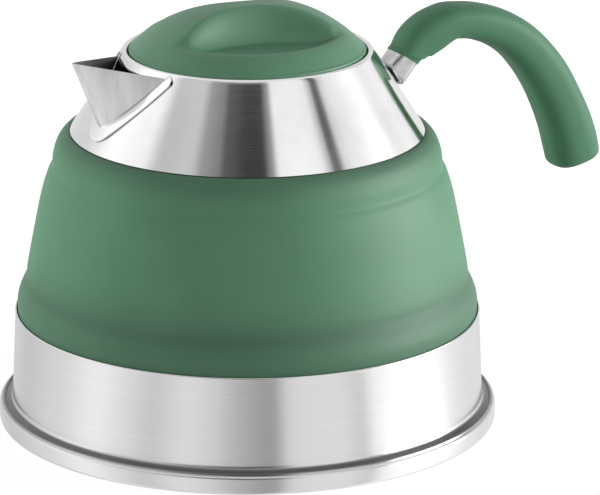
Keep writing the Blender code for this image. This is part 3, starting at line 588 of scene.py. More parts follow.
def hole_edge(near, half_turn):
    """Height of the pouring hole's lower edge at each turn: a V in the flat view from the
    spout's side, softened at its foot, which the cone's lean bends."""
    slope = (HOLE_TOP - HOLE_FOOT) / HOLE_HALF_WIDTH
    lean, widest = math.tan(TILT), math.sin(half_turn)
    reach = np.minimum(np.abs(np.sin(near)), widest)
    reach = np.hypot(reach, HOLE_CREASE) - HOLE_CREASE * (1 - reach / widest)
    reach *= widest / reach.max()
    edge = HOLE_FOOT + slope * reach * (CONE_BOTTOM_RADIUS + lean * CONE_BOTTOM)
    return np.minimum(edge / (1 + lean * slope * reach), HOLE_TOP)


def shoulder_cone():
    """Collar, rolled rim and cone in one sheet. A point of the profile is swept round the
    axis. On the cone two rows follow the edges of the pouring hole, a V below and a level
    line above, and the faces between them are left out. The mark is 1 on what lies within
    the spout's seam, or under the inner part of its flange, where the finish paints shade."""
    half_turn = math.asin(HOLE_HALF_WIDTH / cone_radius(HOLE_TOP))
    near = np.linspace(-half_turn, half_turn, 49)
    far = np.linspace(half_turn, math.tau - half_turn, 208)[1:-1]
    turn = np.concatenate([near, far])
    collar_round = (MOUTH_RADIUS - COLLAR_ROUND, COLLAR_LEDGE + COLLAR_ROUND)
    rim = (MOUTH_RADIUS + RIM_ROUND, RIM_CREST - RIM_ROUND)
    collar = joined(
        (MOUTH_RADIUS - COLLAR_WIDTH, COLLAR_LEDGE),
        arc(collar_round, COLLAR_ROUND, -90, 0, 7),
        arc(rim, RIM_ROUND, 180, math.degrees(TILT), 17),
    )
    level = np.ones(len(turn))
    low_edge = np.concatenate([hole_edge(near, half_turn), np.full(len(far), HOLE_TOP)])
    rows = [(radius * level, height * level) for radius, height in collar]
    above = [level * height for height in np.linspace(collar[-1][1], HOLE_TOP, 4)[1:]]
    below = [low_edge + (CONE_BOTTOM - low_edge) * share for share in np.linspace(0, 1, 9)]
    hole_row = len(rows) + len(above) - 1
    rows += [(cone_radius(height), height) for height in above + below]
    radius, height = np.array(rows).transpose(1, 0, 2)
    # the grid is turned round, so its corners are taken the other way
    faces = grid_faces(len(rows), len(turn))[..., [0, 3, 2, 1]]
    kept = np.arange(len(faces)) != hole_row
    aside = np.minimum(turn % math.tau, -turn % math.tau) / SPOUT_HALF_ANGLE
    seam = SPOUT_FOOT + (SPOUT_TOP - SPOUT_FOOT) * fold_line(np.minimum(aside, 1), SEAM_CREASE)
    under_flange, past_end, hair = 0.003, 1.03, 1e-6
    # the region of painted shade round the pouring hole
    within = (height > seam - under_flange) & (height < HOLE_TOP + hair) & (aside < past_end)
    grid = round_cone(turn, radius, height)
    cone = mesh_piece("polished_shoulder_cone", grid, faces[kept], within=within)
    sheeted(cone, CONE_SHEET)
    return cone


def pour_spout():
    """Folded spout: the seam is a V drawn on the cone. From it a flange runs out over the
    cone, and the walls are ruled from it to the pouring edge, which closes to a point.
    Marks: run is 0 to 1 over the flange and 1 to 2 up the walls, arm is 0 at the crease
    and 1 at the seam's ends, and inside is 1 on the inner face."""
    side = np.linspace(-FLANGE_PAST, FLANGE_PAST, 129)
    held = np.clip(side, -1, 1)
    # past the ends of the V the flange goes on up, about as steeply as the V
    slope_past = 1.02
    rise = fold_line(held, SEAM_CREASE) + (np.abs(side) - np.abs(held)) * slope_past
    out = (FIT + SPOUT_SHEET) / math.cos(TILT)

    def on_face(turn, height):
        return round_cone(turn, cone_radius(height) + out, height)

    turn = SPOUT_HALF_ANGLE * side
    height = SPOUT_FOOT + (SPOUT_TOP - SPOUT_FOOT) * rise
    seam = on_face(turn, height)
    # the seam's own outward direction in the cone's unrolled face
    flat = np.stack([cone_radius(height) * turn, height / math.cos(TILT)], axis=1)
    along = np.gradient(flat, axis=0)
    along /= np.linalg.norm(along, axis=1)[:, None]
    outward_way = np.stack([along[:, 1], -along[:, 0]], axis=1)
    end = np.clip((np.abs(side) - FLANGE_END_SHARE) / (FLANGE_PAST - FLANGE_END_SHARE), 0, 1)
    width = FLANGE_WIDTH + FLANGE_FOOT_MORE / (1 + (side / FLANGE_FOOT_SHARE) ** 2)
    width *= np.sqrt(np.clip(1 - end**2, 0, 1))
    rows = []
    for share in (1, 0.8, 0.5, 0.22):
        point = flat + outward_way * (width * share)[:, None]
        level = point[:, 1] * math.cos(TILT)
        rows.append(on_face(point[:, 0] / cone_radius(level), level))
    rows.append(seam)
    flange_rows = len(rows)

    tip = np.array((SPOUT_TIP[0], 0, SPOUT_TIP[1]))
    head = on_face(np.array([SPOUT_HALF_ANGLE]), np.array([SPOUT_TOP]))[0]
    edge = tip + (head - tip) * fold_line(held, EDGE_CREASE)[:, None]
    edge[:, 1] = -abs(head[1]) * held
    edge = np.where((np.abs(side) >= 1)[:, None], seam, edge)
    rows += [seam + (edge - seam) * share for share in np.linspace(0, 1, 15)[1:]]
    wall_run = np.linspace(1, 2, len(rows) - flange_rows + 1)[1:]
    run = np.concatenate([np.linspace(0, 1, flange_rows), wall_run])
    spout = mesh_piece(
        "folded_pour_spout",
        rows,
        grid_faces(len(rows), len(side), wrap_columns=False),
        run=np.repeat(run, len(side)),
        arm=np.tile(np.abs(side), len(rows)),
    )
    outer_points = len(spout.data.vertices)
    sheeted(spout, SPOUT_SHEET)
    mark(spout, "inside", np.arange(len(spout.data.vertices)) >= outer_points)
    return spout


# Lid


def soft_least(a, b, blend):
    """The smaller of two values, rounded over where they are less than the blend apart."""
    return np.minimum(a, b) - np.maximum(blend - np.abs(a - b), 0) ** 2 / (4 * blend)


def lid_height(x, y):
    """Dome less two scoops. The dome falls with a power of the radius. A scoop is deepest
    past its banks and eases out over the pinch ridge's flared edge and the round rim."""
    radius = np.hypot(x, y)
    dome = LID_EDGE + LID_RISE * (1 - (radius / LID_RADIUS) ** LID_DOME_POWER)
    edge = RIDGE_HALF_WIDTH + RIDGE_FLARE * np.minimum(np.abs(x) / RIDGE_FLARE_END, 1) ** 2
    near = (np.abs(y) - edge) / RIDGE_BANK
    far = (SCOOP_RADIUS - radius) / SCOOP_RIM_BANK
    bank = soft_least(near, far, SCOOP_BLEND)
    eased_bank = np.maximum(bank + SCOOP_EASE, 0) ** 2 / (4 * SCOOP_EASE)
    bank = np.where(bank > SCOOP_EASE, bank, eased_bank)
    share = 1 - (1 - np.clip(bank, 0, 1)) ** 2
    return dome - (dome - SCOOP_FLOOR) * share


def lid_wall(x, y):
    """Height of the underside: a wall's thickness below the top, measured square to it,
    which is the thickness times the root of 1 plus the slope's square straight down."""
    small, steepest = 0.0004, 2.2
    slope = np.hypot(
        (lid_height(x + small, y) - lid_height(x - small, y)) / (2 * small),
        (lid_height(x, y + small) - lid_height(x, y - small)) / (2 * small),
    )
    return lid_height(x, y) - LID_WALL * np.minimum(np.hypot(1, slope), steepest)


def lid_cover():
    """Cover in one closed surface of rings: top, skirt, underside a wall's thickness
    below the top, boss, and the screw's blind bore."""
    turn = np.arange(256) * math.tau / 256
    cosine, sine = np.cos(turn), np.sin(turn)
    edge_round, skirt_ease, ease, step = 0.0009, 0.0004, 0.0003, 0.0006
    under, inner = LID_SKIRT + 2 * skirt_ease, LID_RADIUS - LID_WALL

    def ring(radius, height):
        level = np.broadcast_to(height, turn.shape)
        return np.stack([radius * cosine, radius * sine, level], axis=-1)

    top = np.concatenate([[0], np.linspace(step, LID_RADIUS - edge_round, 92)])
    rows = [ring(r, lid_height(r * cosine, r * sine)) for r in top]
    edge_height = float(lid_height(LID_RADIUS - edge_round, 0))
    for angle in np.radians([65, 45, 25, 5]):
        # the dome meets the skirt in a small round
        radius = LID_RADIUS - edge_round * (1 - math.cos(angle))
        rows.append(ring(radius, edge_height - edge_round * (1 - math.sin(angle))))
    rows += [
        ring(LID_RADIUS, LID_SKIRT + skirt_ease),
        ring(LID_RADIUS - skirt_ease, LID_SKIRT),
        ring(inner + ease, LID_SKIRT),
        ring(inner, LID_SKIRT + skirt_ease),
    ]
    for radius in np.linspace(inner - step, BOSS_RADIUS, 60):
        rows.append(ring(radius, np.maximum(lid_wall(radius * cosine, radius * sine), under)))
    rows += [
        ring(BOSS_RADIUS, BOSS_FOOT + ease),
        ring(BOSS_RADIUS - ease, BOSS_FOOT),
        ring(BOSS_BORE, BOSS_FOOT),
        ring(BOSS_BORE, BORE_TOP),
        ring(0, BORE_TOP),
    ]
    cover = skin("soft_lid_cover", rows[::-1])
    cover.data.transform(Matrix.Rotation(LID_TURN, 4, "Z"))
    return cover


def inner_plate():
    """Sheet profile: flange, wall and a dished bottom with the screw's hole."""
    ease = 0.0004
    wall = SEAL_INNER - FIT
    outline = joined(
        (PLATE_RADIUS, PLATE_FLANGE),
        (wall + ease, PLATE_FLANGE),
        (wall, PLATE_FLANGE - ease),
        arc((wall - PLATE_ROUND, PLATE_BOTTOM + PLATE_ROUND), PLATE_ROUND, 0, -90, 8),
        (BOSS_BORE, PLATE_BOTTOM),
    )
    return turned("lid_plate", sheet(outline, PLATE_SHEET))


def lid_seal():
    """Ring with a chamfer that leads it into the collar."""
    loop = [
        (SEAL_INNER, SEAL_HIGH), (SEAL_OUTER, SEAL_HIGH), (SEAL_OUTER, SEAL_LOW + SEAL_CHAMFER),
        (SEAL_OUTER - SEAL_CHAMFER, SEAL_LOW), (SEAL_INNER, SEAL_LOW),
    ]
    return eased_ring("lid_sealing_ring", loop, 0.0003, segments=3, angle=30)


def lid_screw():
    """Profile: shank with an eased tip, and a round head with a shallow driving recess."""
    tip_ease, head_round, head_side = 0.0004, 0.0010, 0.0006
    recess, recess_lean, recess_depth = 0.0012, 0.0001, 0.0008
    low = SCREW_HEAD_TOP - SCREW_HEAD_HEIGHT
    loop = joined(
        (0, SCREW_TOP),
        (SCREW_RADIUS - tip_ease, SCREW_TOP),
        (SCREW_RADIUS, SCREW_TOP - tip_ease),
        (SCREW_RADIUS, SCREW_HEAD_TOP),
        (SCREW_HEAD_RADIUS, SCREW_HEAD_TOP),
        (SCREW_HEAD_RADIUS, SCREW_HEAD_TOP - head_side),
        arc((SCREW_HEAD_RADIUS - head_round, low + head_round), head_round, 0, -90, 7),
        (recess, low),
        (recess - recess_lean, low + recess_depth),
        (0, low + recess_depth),
    )
    return turned("lid_plate_screw", loop, SMALL_STEPS)


def screw_seal():
    """Flat ring under the screw's head."""
    loop = [
        (BOSS_BORE, SCREW_SEAL_HIGH), (SCREW_HEAD_RADIUS, SCREW_SEAL_HIGH),
        (SCREW_HEAD_RADIUS, SCREW_SEAL_LOW), (BOSS_BORE, SCREW_SEAL_LOW),
    ]
    return eased_ring("screw_sealing_ring", loop, 0.00015, SMALL_STEPS)


# Handle


# From heights along the rivet to its place, square to the cone
RIVET_FRAME = Matrix.Translation(RIVET_FOOT) @ Matrix.Rotation(math.pi / 2 - TILT, 4, "Y")


def handle_mount():
    """Pressed bridge: a bent strip, its section in the rivet's YZ plane, run along X. Its
    feet drop with the cone's round face, a circle's height over its chord."""
    crown_round, leg_foot = 0.0011, (0.0003, 0.0008)

    def cone_drop(across):
        bend = RIVET_FOOT[0] / math.cos(TILT)
        return bend - math.sqrt(bend**2 - across**2)

    leg = MOUNT_HALF_WIDTH + MOUNT_SPREAD
    feet = [
        (leg + MOUNT_FOOT * share, FIT + MOUNT_SHEET - cone_drop(leg + MOUNT_FOOT * share))
        for share in (1, 0.75, 0.5, 0.28)
    ]
    crown = (MOUNT_HALF_WIDTH - crown_round, MOUNT_HEIGHT - crown_round)
    side = joined(feet, (leg + leg_foot[0], leg_foot[1]), arc(crown, crown_round, 24, 90, 7))
    outline = joined(side, (0, MOUNT_HEIGHT), side[::-1] * (-1, 1))
    loop = np.vstack([outline, offset(outline, -MOUNT_SHEET)[::-1]])
    count = len(loop)
    ends = (-MOUNT_LENGTH / 2, MOUNT_LENGTH / 2)
    points = [np.column_stack([np.full(count, x), loop]) for x in ends]
    first = np.arange(count // 2 - 1)
    cap = np.column_stack([first, count - 1 - first, count - 2 - first, first + 1])
    faces = np.vstack([grid_faces(2, count)[0], cap, cap[:, ::-1] + count])
    bridge = mesh_piece("pressed_handle_bridge", points, faces)
    outward(bridge)
    eased(bridge, 0.00018, 2, 60)
    bridge.data.transform(RIVET_FRAME)
    return bridge


def swivel_washer():
    """Flat ring round the rivet."""
    bore = RIVET_RADIUS + FIT
    loop = [
        (bore, WASHER_HIGH), (WASHER_RADIUS, WASHER_HIGH),
        (WASHER_RADIUS, WASHER_LOW), (bore, WASHER_LOW),
    ]
    ring = eased_ring("swivel_friction_washer", loop, 0.0001, PIN_STEPS)
    ring.data.transform(RIVET_FRAME)
    return ring


def swivel_rivet():
    """Profile: shank between two domed heads. A dome falls through four points, shares of
    its radius and drops from its crown."""
    high, low = RIVET_HEAD_FOOT + RIVET_HEAD_HEIGHT, RIVET_TAIL - RIVET_TAIL_HEIGHT
    wide, middle, side = RIVET_HEAD_RADIUS, 0.0005, 0.0003
    shoulder = [(wide * 0.6, 0.0001), (wide * 0.9, 0.0004)]
    head = [(radius, high - drop) for radius, drop in shoulder]
    tail = [(radius, low + drop) for radius, drop in shoulder[::-1]]
    loop = joined(
        (0, high),
        curve([(middle, high), *head, (wide, RIVET_HEAD_FOOT + side)], 10),
        (wide, RIVET_HEAD_FOOT),
        (RIVET_RADIUS, RIVET_HEAD_FOOT),
        (RIVET_RADIUS, RIVET_TAIL),
        (wide, RIVET_TAIL),
        curve([(wide, RIVET_TAIL - side), *tail, (middle, low)], 10),
        (0, low),
    )
    pin = turned("swivel_rivet_pin", loop, PIN_STEPS)
    pin.data.transform(RIVET_FRAME)
    return pin


def ferrule_station(t, past=0.0):
    """Centre, heading, half sizes and power of the ferrule's section, from its flat face
    at the rivet to its end in the grip: each is a straight blend of its two ends."""
    start = np.array((math.cos(TILT), math.sin(TILT))) * FERRULE_FACE
    lead = np.array((math.cos(FERRULE_MOUTH_ANGLE), math.sin(FERRULE_MOUTH_ANGLE)))
    way = np.array(FERRULE_END) + lead * FERRULE_SEAT - start
    centre = start + way * t * (1 + past / np.linalg.norm(way))
    heading = TILT + (FERRULE_MOUTH_ANGLE - TILT) * t
    base, mouth = np.array(FERRULE_BASE), np.array(FERRULE_MOUTH)
    return centre, heading, *(base + (mouth - base) * t)


def ferrule():
    """Cup: closed by a flat face with the rivet's hole, rounded where the face meets the
    side, then the blend of sections, folded over at its mouth into the inside."""
    count, soft, face_inset = 96, 0.0015, 0.0028
    turn = np.arange(count) * math.tau / count
    length = np.linalg.norm(ferrule_station(1)[0] - ferrule_station(0)[0])
    rings = []

    def hole(t):
        centre, heading, *_ = ferrule_station(t)
        radius = RIVET_RADIUS + FIT
        x = centre[0] - radius * np.cos(turn) * math.sin(heading)
        z = centre[1] + radius * np.cos(turn) * math.cos(heading)
        return np.column_stack([x, -radius * np.sin(turn), z])

    def add(t, grow):
        centre, heading, half_length, half_width, power = ferrule_station(t)
        rings.append(section(centre, heading, half_length + grow, half_width + grow, power, count))

    rings.append(hole(0))
    add(0, -face_inset)
    for angle in np.radians([0, 22, 45, 68, 90]):
        add(soft * (1 - math.cos(angle)) / length, -soft * (1 - math.sin(angle)))
    for t in np.linspace(0.12, 0.99, 22):
        add(t, 0)
    add(1, -FERRULE_SHEET / 2)
    for t in np.linspace(0.99, 0.14, 20):
        add(t, -FERRULE_SHEET)
    add(FERRULE_SHEET / length, -FERRULE_SHEET - soft / 2)
    rings.append(hole(FERRULE_SHEET / length))
    return handle_piece("handle_ferrule_cup", rings, wrap_rows=True)


def handle_piece(name, rings, wrap_rows=False):
    """A skin over sections that are drawn round the rivet's foot, moved to its place."""
    piece = skin(name, rings, wrap_rows)
    outward(piece)
    piece.data.transform(Matrix.Translation(RIVET_FOOT))
    return piece


def pole(ring):
    """A ring shrunk to its middle, which closes a skin."""
    return np.repeat(ring.mean(0)[None], len(ring), 0)


def grip_rows(count):
    """Centre and half sizes along the grip's smooth path, and the heading of each section:
    the path's own, but the ferrule mouth's at the start, with a smooth step between."""
    rows = np.array(GRIP_PATH, float)
    rise = np.where(rows[:, 1] > 0, GRIP_CREST, GRIP_DROP) * rows[:, 1]
    centre = np.stack([FERRULE_END[0] + GRIP_REACH * rows[:, 0], FERRULE_END[1] + rise], axis=1)
    size = rows[:, 2:] * (GRIP_HALF_THICKNESS, GRIP_HALF_WIDTH)
    path = curve(np.hstack([centre, size]), count)
    step = np.gradient(path[:, :2], axis=0)
    turn = np.arctan2(step[:, 1], step[:, 0])
    share = np.clip(np.linspace(0, 1 / GRIP_LEAD_SHARE, count), 0, 1)
    share = share * share * (3 - 2 * share)
    return path, FERRULE_MOUTH_ANGLE + (turn - FERRULE_MOUTH_ANGLE) * share


def tang_sections(grow, count, points):
    """Flat bar that starts inside the ferrule and follows the grip's centre line."""
    start, heading, _, ferrule_width, _ = ferrule_station(TANG_START_SHARE)
    path, turn = grip_rows(count)
    keep = round(count * TANG_LENGTH_SHARE)
    centres = np.vstack([start, path[:keep, :2]])
    turn = np.concatenate([[heading], turn[:keep]])
    half_width = ferrule_width - FERRULE_SHEET - FIT + grow
    return [
        section(c, h, TANG_HALF_THICKNESS + grow, half_width, TANG_POWER, points)
        for c, h in zip(centres, turn)
    ]


def handle_tang():
    """The bar's sections, closed at both ends."""
    rings = tang_sections(0, 40, 32)
    return handle_piece("handle_tang_bar", [pole(rings[0]), *rings, pole(rings[-1])])


def handle_grip():
    """Grip in one closed surface of sections: from the end of the tang's channel back to
    the ferrule's socket, round its mouth, along the outer face and over the rounded end."""
    points = 96
    channel = tang_sections(FIT, 40, points)[:3:-1]
    rings = [pole(channel[0]), *channel]
    for t in np.linspace(1, 0.62, 8):
        centre, heading, half_length, half_width, power = ferrule_station(t, 2 * FIT)
        rings.append(section(centre, heading, half_length + FIT, half_width + FIT, power, points))

    def add(centre, heading, half_thickness, half_width):
        rings.append(section(centre, heading, half_thickness, half_width, GRIP_POWER, points))

    path, turn = grip_rows(170)
    x, z, half_thickness, half_width = path[0]
    for angle in np.radians([0, 30, 60]):
        inset = GRIP_LIP_ROUND * (1 - math.sin(angle))
        add((x, z), turn[0], half_thickness - inset, half_width - inset)
    for (x, z, half_thickness, half_width), heading in zip(path, turn):
        add((x, z), heading, half_thickness, half_width)
    for angle in np.radians(np.linspace(0, 90, 12)[1:]):
        run = GRIP_END_ROUND * math.sin(angle)
        less = GRIP_END_ROUND * (1 - math.cos(angle))
        centre = (x + run * math.cos(turn[-1]), z + run * math.sin(turn[-1]))
        add(centre, turn[-1], half_thickness - less, half_width - less)
    last, middle = rings[-1], pole(rings[-1])
    rings += [middle + (last - middle) * share for share in (0.6, 0.3, 0)]
    return handle_piece("moulded_handle_grip", rings)


# Finishes


class Wire:
    """A node's output. Arithmetic on it adds Math nodes."""

    def __init__(self, graph, socket):
        self.graph, self.socket = graph, socket

    def _math(self, operation, *values):
        return self.graph.add("ShaderNodeMath", {"operation": operation}, dict(enumerate(values)))

    def __add__(self, other):
        return self._math("ADD", self, other)

    def __sub__(self, other):
        return self._math("SUBTRACT", self, other)

    def __rsub__(self, other):
        return self._math("SUBTRACT", other, self)

    def __mul__(self, other):
        return self._math("MULTIPLY", self, other)

    __radd__ = __add__
    __rmul__ = __mul__

    def clipped(self):
        """Held between 0 and 1."""
        return self._math("MINIMUM", self._math("MAXIMUM", self, 0.0), 1.0)

    def ramped(self, low, high):
        """0 up to the low value, 1 from the high one, and smooth between them."""
        sockets = {"Value": self, "From Min": low, "From Max": high}
        return self.graph.add("ShaderNodeMapRange", {"interpolation_type": "SMOOTHSTEP"}, sockets)

    def beside(self, name):
        """Another output of the same node."""
        return Wire(self.graph, self.socket.node.outputs[name])


class Graph:
    """Nodes of one material or world."""

    def __init__(self, tree):
        self.tree = tree
        tree.nodes.clear()

    def add(self, kind, settings=None, sockets=None, output=0):
        """A node: its settings first, then the values or links of its sockets."""
        node = self.tree.nodes.new(kind)
        for name, value in (settings or {}).items():
            setattr(node, name, value)
        for name, value in (sockets or {}).items():
            if isinstance(value, Wire):
                self.tree.links.new(value.socket, node.inputs[name])
            else:
                node.inputs[name].default_value = value
        return Wire(self, node.outputs[output]) if node.outputs else None

    def mix(self, share, first, second):
        """Colour between two, by a share."""
        settings = {"data_type": "RGBA", "clamp_factor": True}
        sockets = {0: share, 6: first, 7: second}
        return self.add("ShaderNodeMix", settings, sockets, output=2)

    def mark(self, name):
        """The number that a piece's mark gives each of its points."""
        return self.add("ShaderNodeAttribute", {"attribute_name": name}, output=2)

    def noise(self, scale, detail=2.0, rough=0.5, stretch=(1, 1, 1)):
        """Noise on Object coordinates, which are first scaled on each axis."""
        here = self.add("ShaderNodeTexCoord", output=3)
        sockets = {"Vector": here, "Scale": stretch}
        place = self.add("ShaderNodeMapping", {"vector_type": "POINT"}, sockets)
        sockets = {"Vector": place, "Scale": scale, "Detail": detail, "Roughness": rough}
        return self.add("ShaderNodeTexNoise", {"noise_dimensions": "3D"}, sockets)

    def bump(self, height, distance, strength):
        """A normal tilted by a height, of which 1 stands for the distance."""
        sockets = {"Height": height, "Distance": distance, "Strength": strength}
        return self.add("ShaderNodeBump", {}, sockets)

    def finish(self, **sockets):
        """The surface, by its sockets' names with low lines for spaces."""
        names = {name.replace("_", " "): value for name, value in sockets.items()}
        shader = self.add("ShaderNodeBsdfPrincipled", {}, names)
        self.add("ShaderNodeOutputMaterial", {}, {"Surface": shader})


def colour(red, green, blue):
    """An opaque colour."""
    return (red, green, blue, 1.0)


def grey(level):
    """The same level in all three colours."""
    return colour(level, level, level)


WHITE = grey(1.0)


def material(name):
    """A new material and its empty graph."""
    made = bpy.data.materials.new(name)
    made.use_nodes = True
    return made, Graph(made.node_tree)


def satin_steel(name="satin_brushed_steel", with_groove_shade=False):
    """Rolled and brushed round the axis: fine lines a few centimetres long, slow cloudy
    changes of gloss, and on the base band a line of painted shade in its crease by the bead."""
    made, graph = material(name)
    lines = graph.noise(1.0, 3, 0.6, (26, 26, 3400))
    wide = graph.noise(1.0, 2, 0.5, (9, 9, 420))
    cloud = graph.noise(22, 3, 0.55)
    tone = (lines * 0.6 + wide * 0.4 - 0.5) * 0.6 + 0.5
    base = graph.mix(tone.clipped(), grey(0.60), colour(0.78, 0.78, 0.775))
    if with_groove_shade:
        # painted shade: almost black in the band's crease by the bead
        base = graph.mix(graph.mark("painted_groove_shade").ramped(0.0, 0.7) * 0.88, base, grey(0.06))
    graph.finish(
        Base_Color=base,
        Metallic=1.0,
        Roughness=0.19 + lines * 0.08 + cloud * 0.05,
        Anisotropic=0.7,
        Anisotropic_Rotation=0.25,
        Normal=graph.bump(lines * 0.7 + wide * 0.3, 0.000012, 0.5),
    )
    return made


def mirror_steel():
    """Polished: almost a mirror, with very fine turning lines and a faint haze, and painted
    shade round the pouring hole, within the spout."""
    made, graph = material("mirror_polished_steel")
    lines = graph.noise(1.0, 2, 0.5, (18, 18, 2600))
    haze = graph.noise(34, 4, 0.6)
    base = graph.mix(haze.ramped(0.35, 0.7), grey(0.80), colour(0.88, 0.88, 0.875))
    # painted shade round the pouring hole, inside the spout's seam
    base = graph.mix(graph.mark("within").ramped(0.35, 0.55), base, grey(0.06))
    graph.finish(
        Base_Color=base,
        Metallic=1.0,
        Roughness=0.055 + haze * 0.06 + lines * 0.03,
        Normal=graph.bump(lines, 0.000008, 0.5),
    )
    return made


def folded_steel():
    """The spout's sheet: polished on the flange, with a line of painted shade along its bend,
    satin on the walls with a few broad streaks down them, and rougher inside, where it is
    painted dark as shade."""
    made, graph = material("folded_spout_steel")
    run, arm, inside = graph.mark("run"), graph.mark("arm"), graph.mark("inside")
    grain = graph.noise(1.0, 3, 0.6, (900, 900, 40))
    streaks = graph.noise(1.0, 3, 0.55, (150, 150, 18))
    wall, near_fold = run.ramped(1.0, 1.04), run.ramped(0.80, 0.97)
    # crease: painted shade along the bend between the flange and the walls
    crease = near_fold * (1 - run.ramped(1.0, 1.06)) * arm.ramped(0.12, 0.45)
    # painted shade inside the spout, which is also rougher there
    painted_shade_and_rough_inside = inside * near_fold
    satin = graph.mix(streaks.ramped(0.3, 0.7), grey(0.57), colour(0.72, 0.72, 0.715))
    base = graph.mix(wall, grey(0.90), satin)
    base = graph.mix(crease * 0.75, base, grey(0.12))
    base = graph.mix(painted_shade_and_rough_inside, base, colour(0.17, 0.17, 0.165))
    graph.finish(
        Base_Color=base,
        Metallic=1.0,
        Roughness=0.11 + wall * (0.20 + grain * 0.10) + painted_shade_and_rough_inside * 0.15,
        Normal=graph.bump(grain * wall, 0.00002, 0.4),
    )
    return made


def pressed_steel(name, low, high, roughness):
    """Small pressed pieces: tumbled steel with a fine random grain."""
    made, graph = material(name)
    grain = graph.noise(2600, 2, 0.5)
    cloud = graph.noise(160, 3, 0.5)
    base = graph.mix(cloud.ramped(0.3, 0.7), grey(low), grey(high))
    graph.finish(
        Base_Color=base,
        Metallic=1.0,
        Roughness=roughness + grain * 0.08 + cloud * 0.06,
        Normal=graph.bump(grain, 0.000015, 0.4),
    )
    return made


def rolled_aluminium():
    """Bare sheet, with the fine straight lines of its rolling."""
    made, graph = material("rolled_aluminium")
    lines = graph.noise(1.0, 3, 0.6, (1400, 26, 26))
    base = graph.mix(lines, colour(0.50, 0.51, 0.52), colour(0.66, 0.67, 0.68))
    graph.finish(Base_Color=base, Metallic=1.0, Roughness=0.36 + lines * 0.12)
    return made


def rubber(name, low, high, roughness, specular=0.5, shade=0.0):
    """Matte silicone: a soft grain as fine as its mould's, slow changes of colour, and,
    where a shade is given, painted shade by the piece's mark, as in the wall's folds."""
    made, graph = material(name)
    grain = graph.noise(3800, 2, 0.6)
    cloud = graph.noise(28, 3, 0.55)
    specks = graph.noise(900, 2, 0.5).ramped(0.62, 0.8)
    base = graph.mix(cloud.ramped(0.3, 0.7), low, high)
    base = graph.mix(specks * 0.06, base, colour(0.5, 0.6, 0.54))
    if shade:
        # painted shade: towards a third of the darker colour where the mark is high
        folded = colour(*(part * 0.3 for part in low[:3]))
        base = graph.mix(graph.mark("painted_fold_shade") * shade, base, folded)
    graph.finish(
        Base_Color=base,
        Roughness=roughness + grain * 0.08,
        Specular_IOR_Level=specular,
        Normal=graph.bump(grain, 0.00003, 0.5),
    )
    return made


def soft_plastic(name, low, high, roughness, specular):
    """Moulded plastic with a soft-touch skin: an even fine grain, and a little gloss
    where hands rub it."""
    made, graph = material(name)
    grain = graph.noise(4200, 2, 0.55)
    cloud = graph.noise(36, 3, 0.5)
    base = graph.mix(cloud.ramped(0.3, 0.7), low, high)
    graph.finish(
        Base_Color=base,
        Roughness=roughness + grain * 0.06 + cloud * 0.05,
        Specular_IOR_Level=specular,
        Normal=graph.bump(grain, 0.00002, 0.4),
    )
    return made


def black_nylon():
    """Moulded nylon with a fine grain."""
    made, graph = material("black_nylon")
    grain = graph.noise(3000, 2, 0.5)
    base = graph.mix(grain, grey(0.012), grey(0.03))
    graph.finish(Base_Color=base, Roughness=0.42 + grain * 0.1)
    return made


# The darker and the paler of each mottled colour
SILICONE_GREENS = colour(0.076, 0.228, 0.122), colour(0.086, 0.252, 0.138)
SILICONE_GREYS = colour(0.30, 0.31, 0.30), colour(0.36, 0.37, 0.36)
LID_GREENS = colour(0.072, 0.212, 0.113), colour(0.080, 0.232, 0.127)
GRIP_GREENS = colour(0.062, 0.186, 0.100), colour(0.068, 0.202, 0.110)

FINISHES = {
    "steel": satin_steel(),
    "band_steel": satin_steel("satin_band_steel", with_groove_shade=True),
    "polished_steel": mirror_steel(),
    "folded_steel": folded_steel(),
    "pressed_steel": pressed_steel("pressed_steel", 0.60, 0.76, 0.17),
    "tumbled_steel": pressed_steel("tumbled_ferrule_steel", 0.42, 0.62, 0.24),
    "aluminium": rolled_aluminium(),
    "green_silicone": rubber("matte_green_silicone", *SILICONE_GREENS, 0.54, 0.7, 0.6),
    "grey_silicone": rubber("grey_silicone", *SILICONE_GREYS, 0.5),
    "lid_plastic": soft_plastic("soft_touch_lid_plastic", *LID_GREENS, 0.42, 0.8),
    "grip_plastic": soft_plastic("soft_touch_grip_plastic", *GRIP_GREENS, 0.50, 0.4),
    "black_plastic": black_nylon(),
}

# Piece, CAD node, body, record slot, finish
PIECES = (
    (base_band, "base_band", "base", "steel", "band_steel"),
    (floor_pan, "floor_pan", "base", "steel", "steel"),
    (heat_spreader, "heat_spreader", "base", "aluminium", "aluminium"),
    (spreader_cover, "spreader_cover", "base", "steel", "steel"),
    (silicone_wall, "silicone_wall", "base", "green_silicone", "green_silicone"),
    (lower_clamp, "lower_clamp_ring", "base", "steel", "pressed_steel"),
    (upper_clamp, "upper_clamp_ring", "shoulder", "steel", "pressed_steel"),
    (shoulder_cone, "shoulder_cone", "shoulder", "polished_steel", "polished_steel"),
    (pour_spout, "pour_spout", "shoulder", "polished_steel", "folded_steel"),
    (handle_mount, "handle_mount", "shoulder", "steel", "pressed_steel"),
    (swivel_washer, "swivel_washer", "shoulder", "black_plastic", "black_plastic"),
    (swivel_rivet, "swivel_rivet", "shoulder", "steel", "pressed_steel"),
    (lid_cover, "lid_cover", "lid", "green_plastic", "lid_plastic"),
    (inner_plate, "lid_inner_plate", "lid", "steel", "steel"),
    (lid_seal, "lid_seal", "lid", "grey_silicone", "grey_silicone"),
    (lid_screw, "lid_screw", "lid", "steel", "pressed_steel"),
    (screw_seal, "screw_seal", "lid", "grey_silicone", "grey_silicone"),
    (ferrule, "handle_ferrule", "handle", "steel", "tumbled_steel"),
    (handle_tang, "handle_tang", "handle", "steel", "pressed_steel"),
    (handle_grip, "handle_grip", "handle", "green_plastic", "grip_plastic"),
)
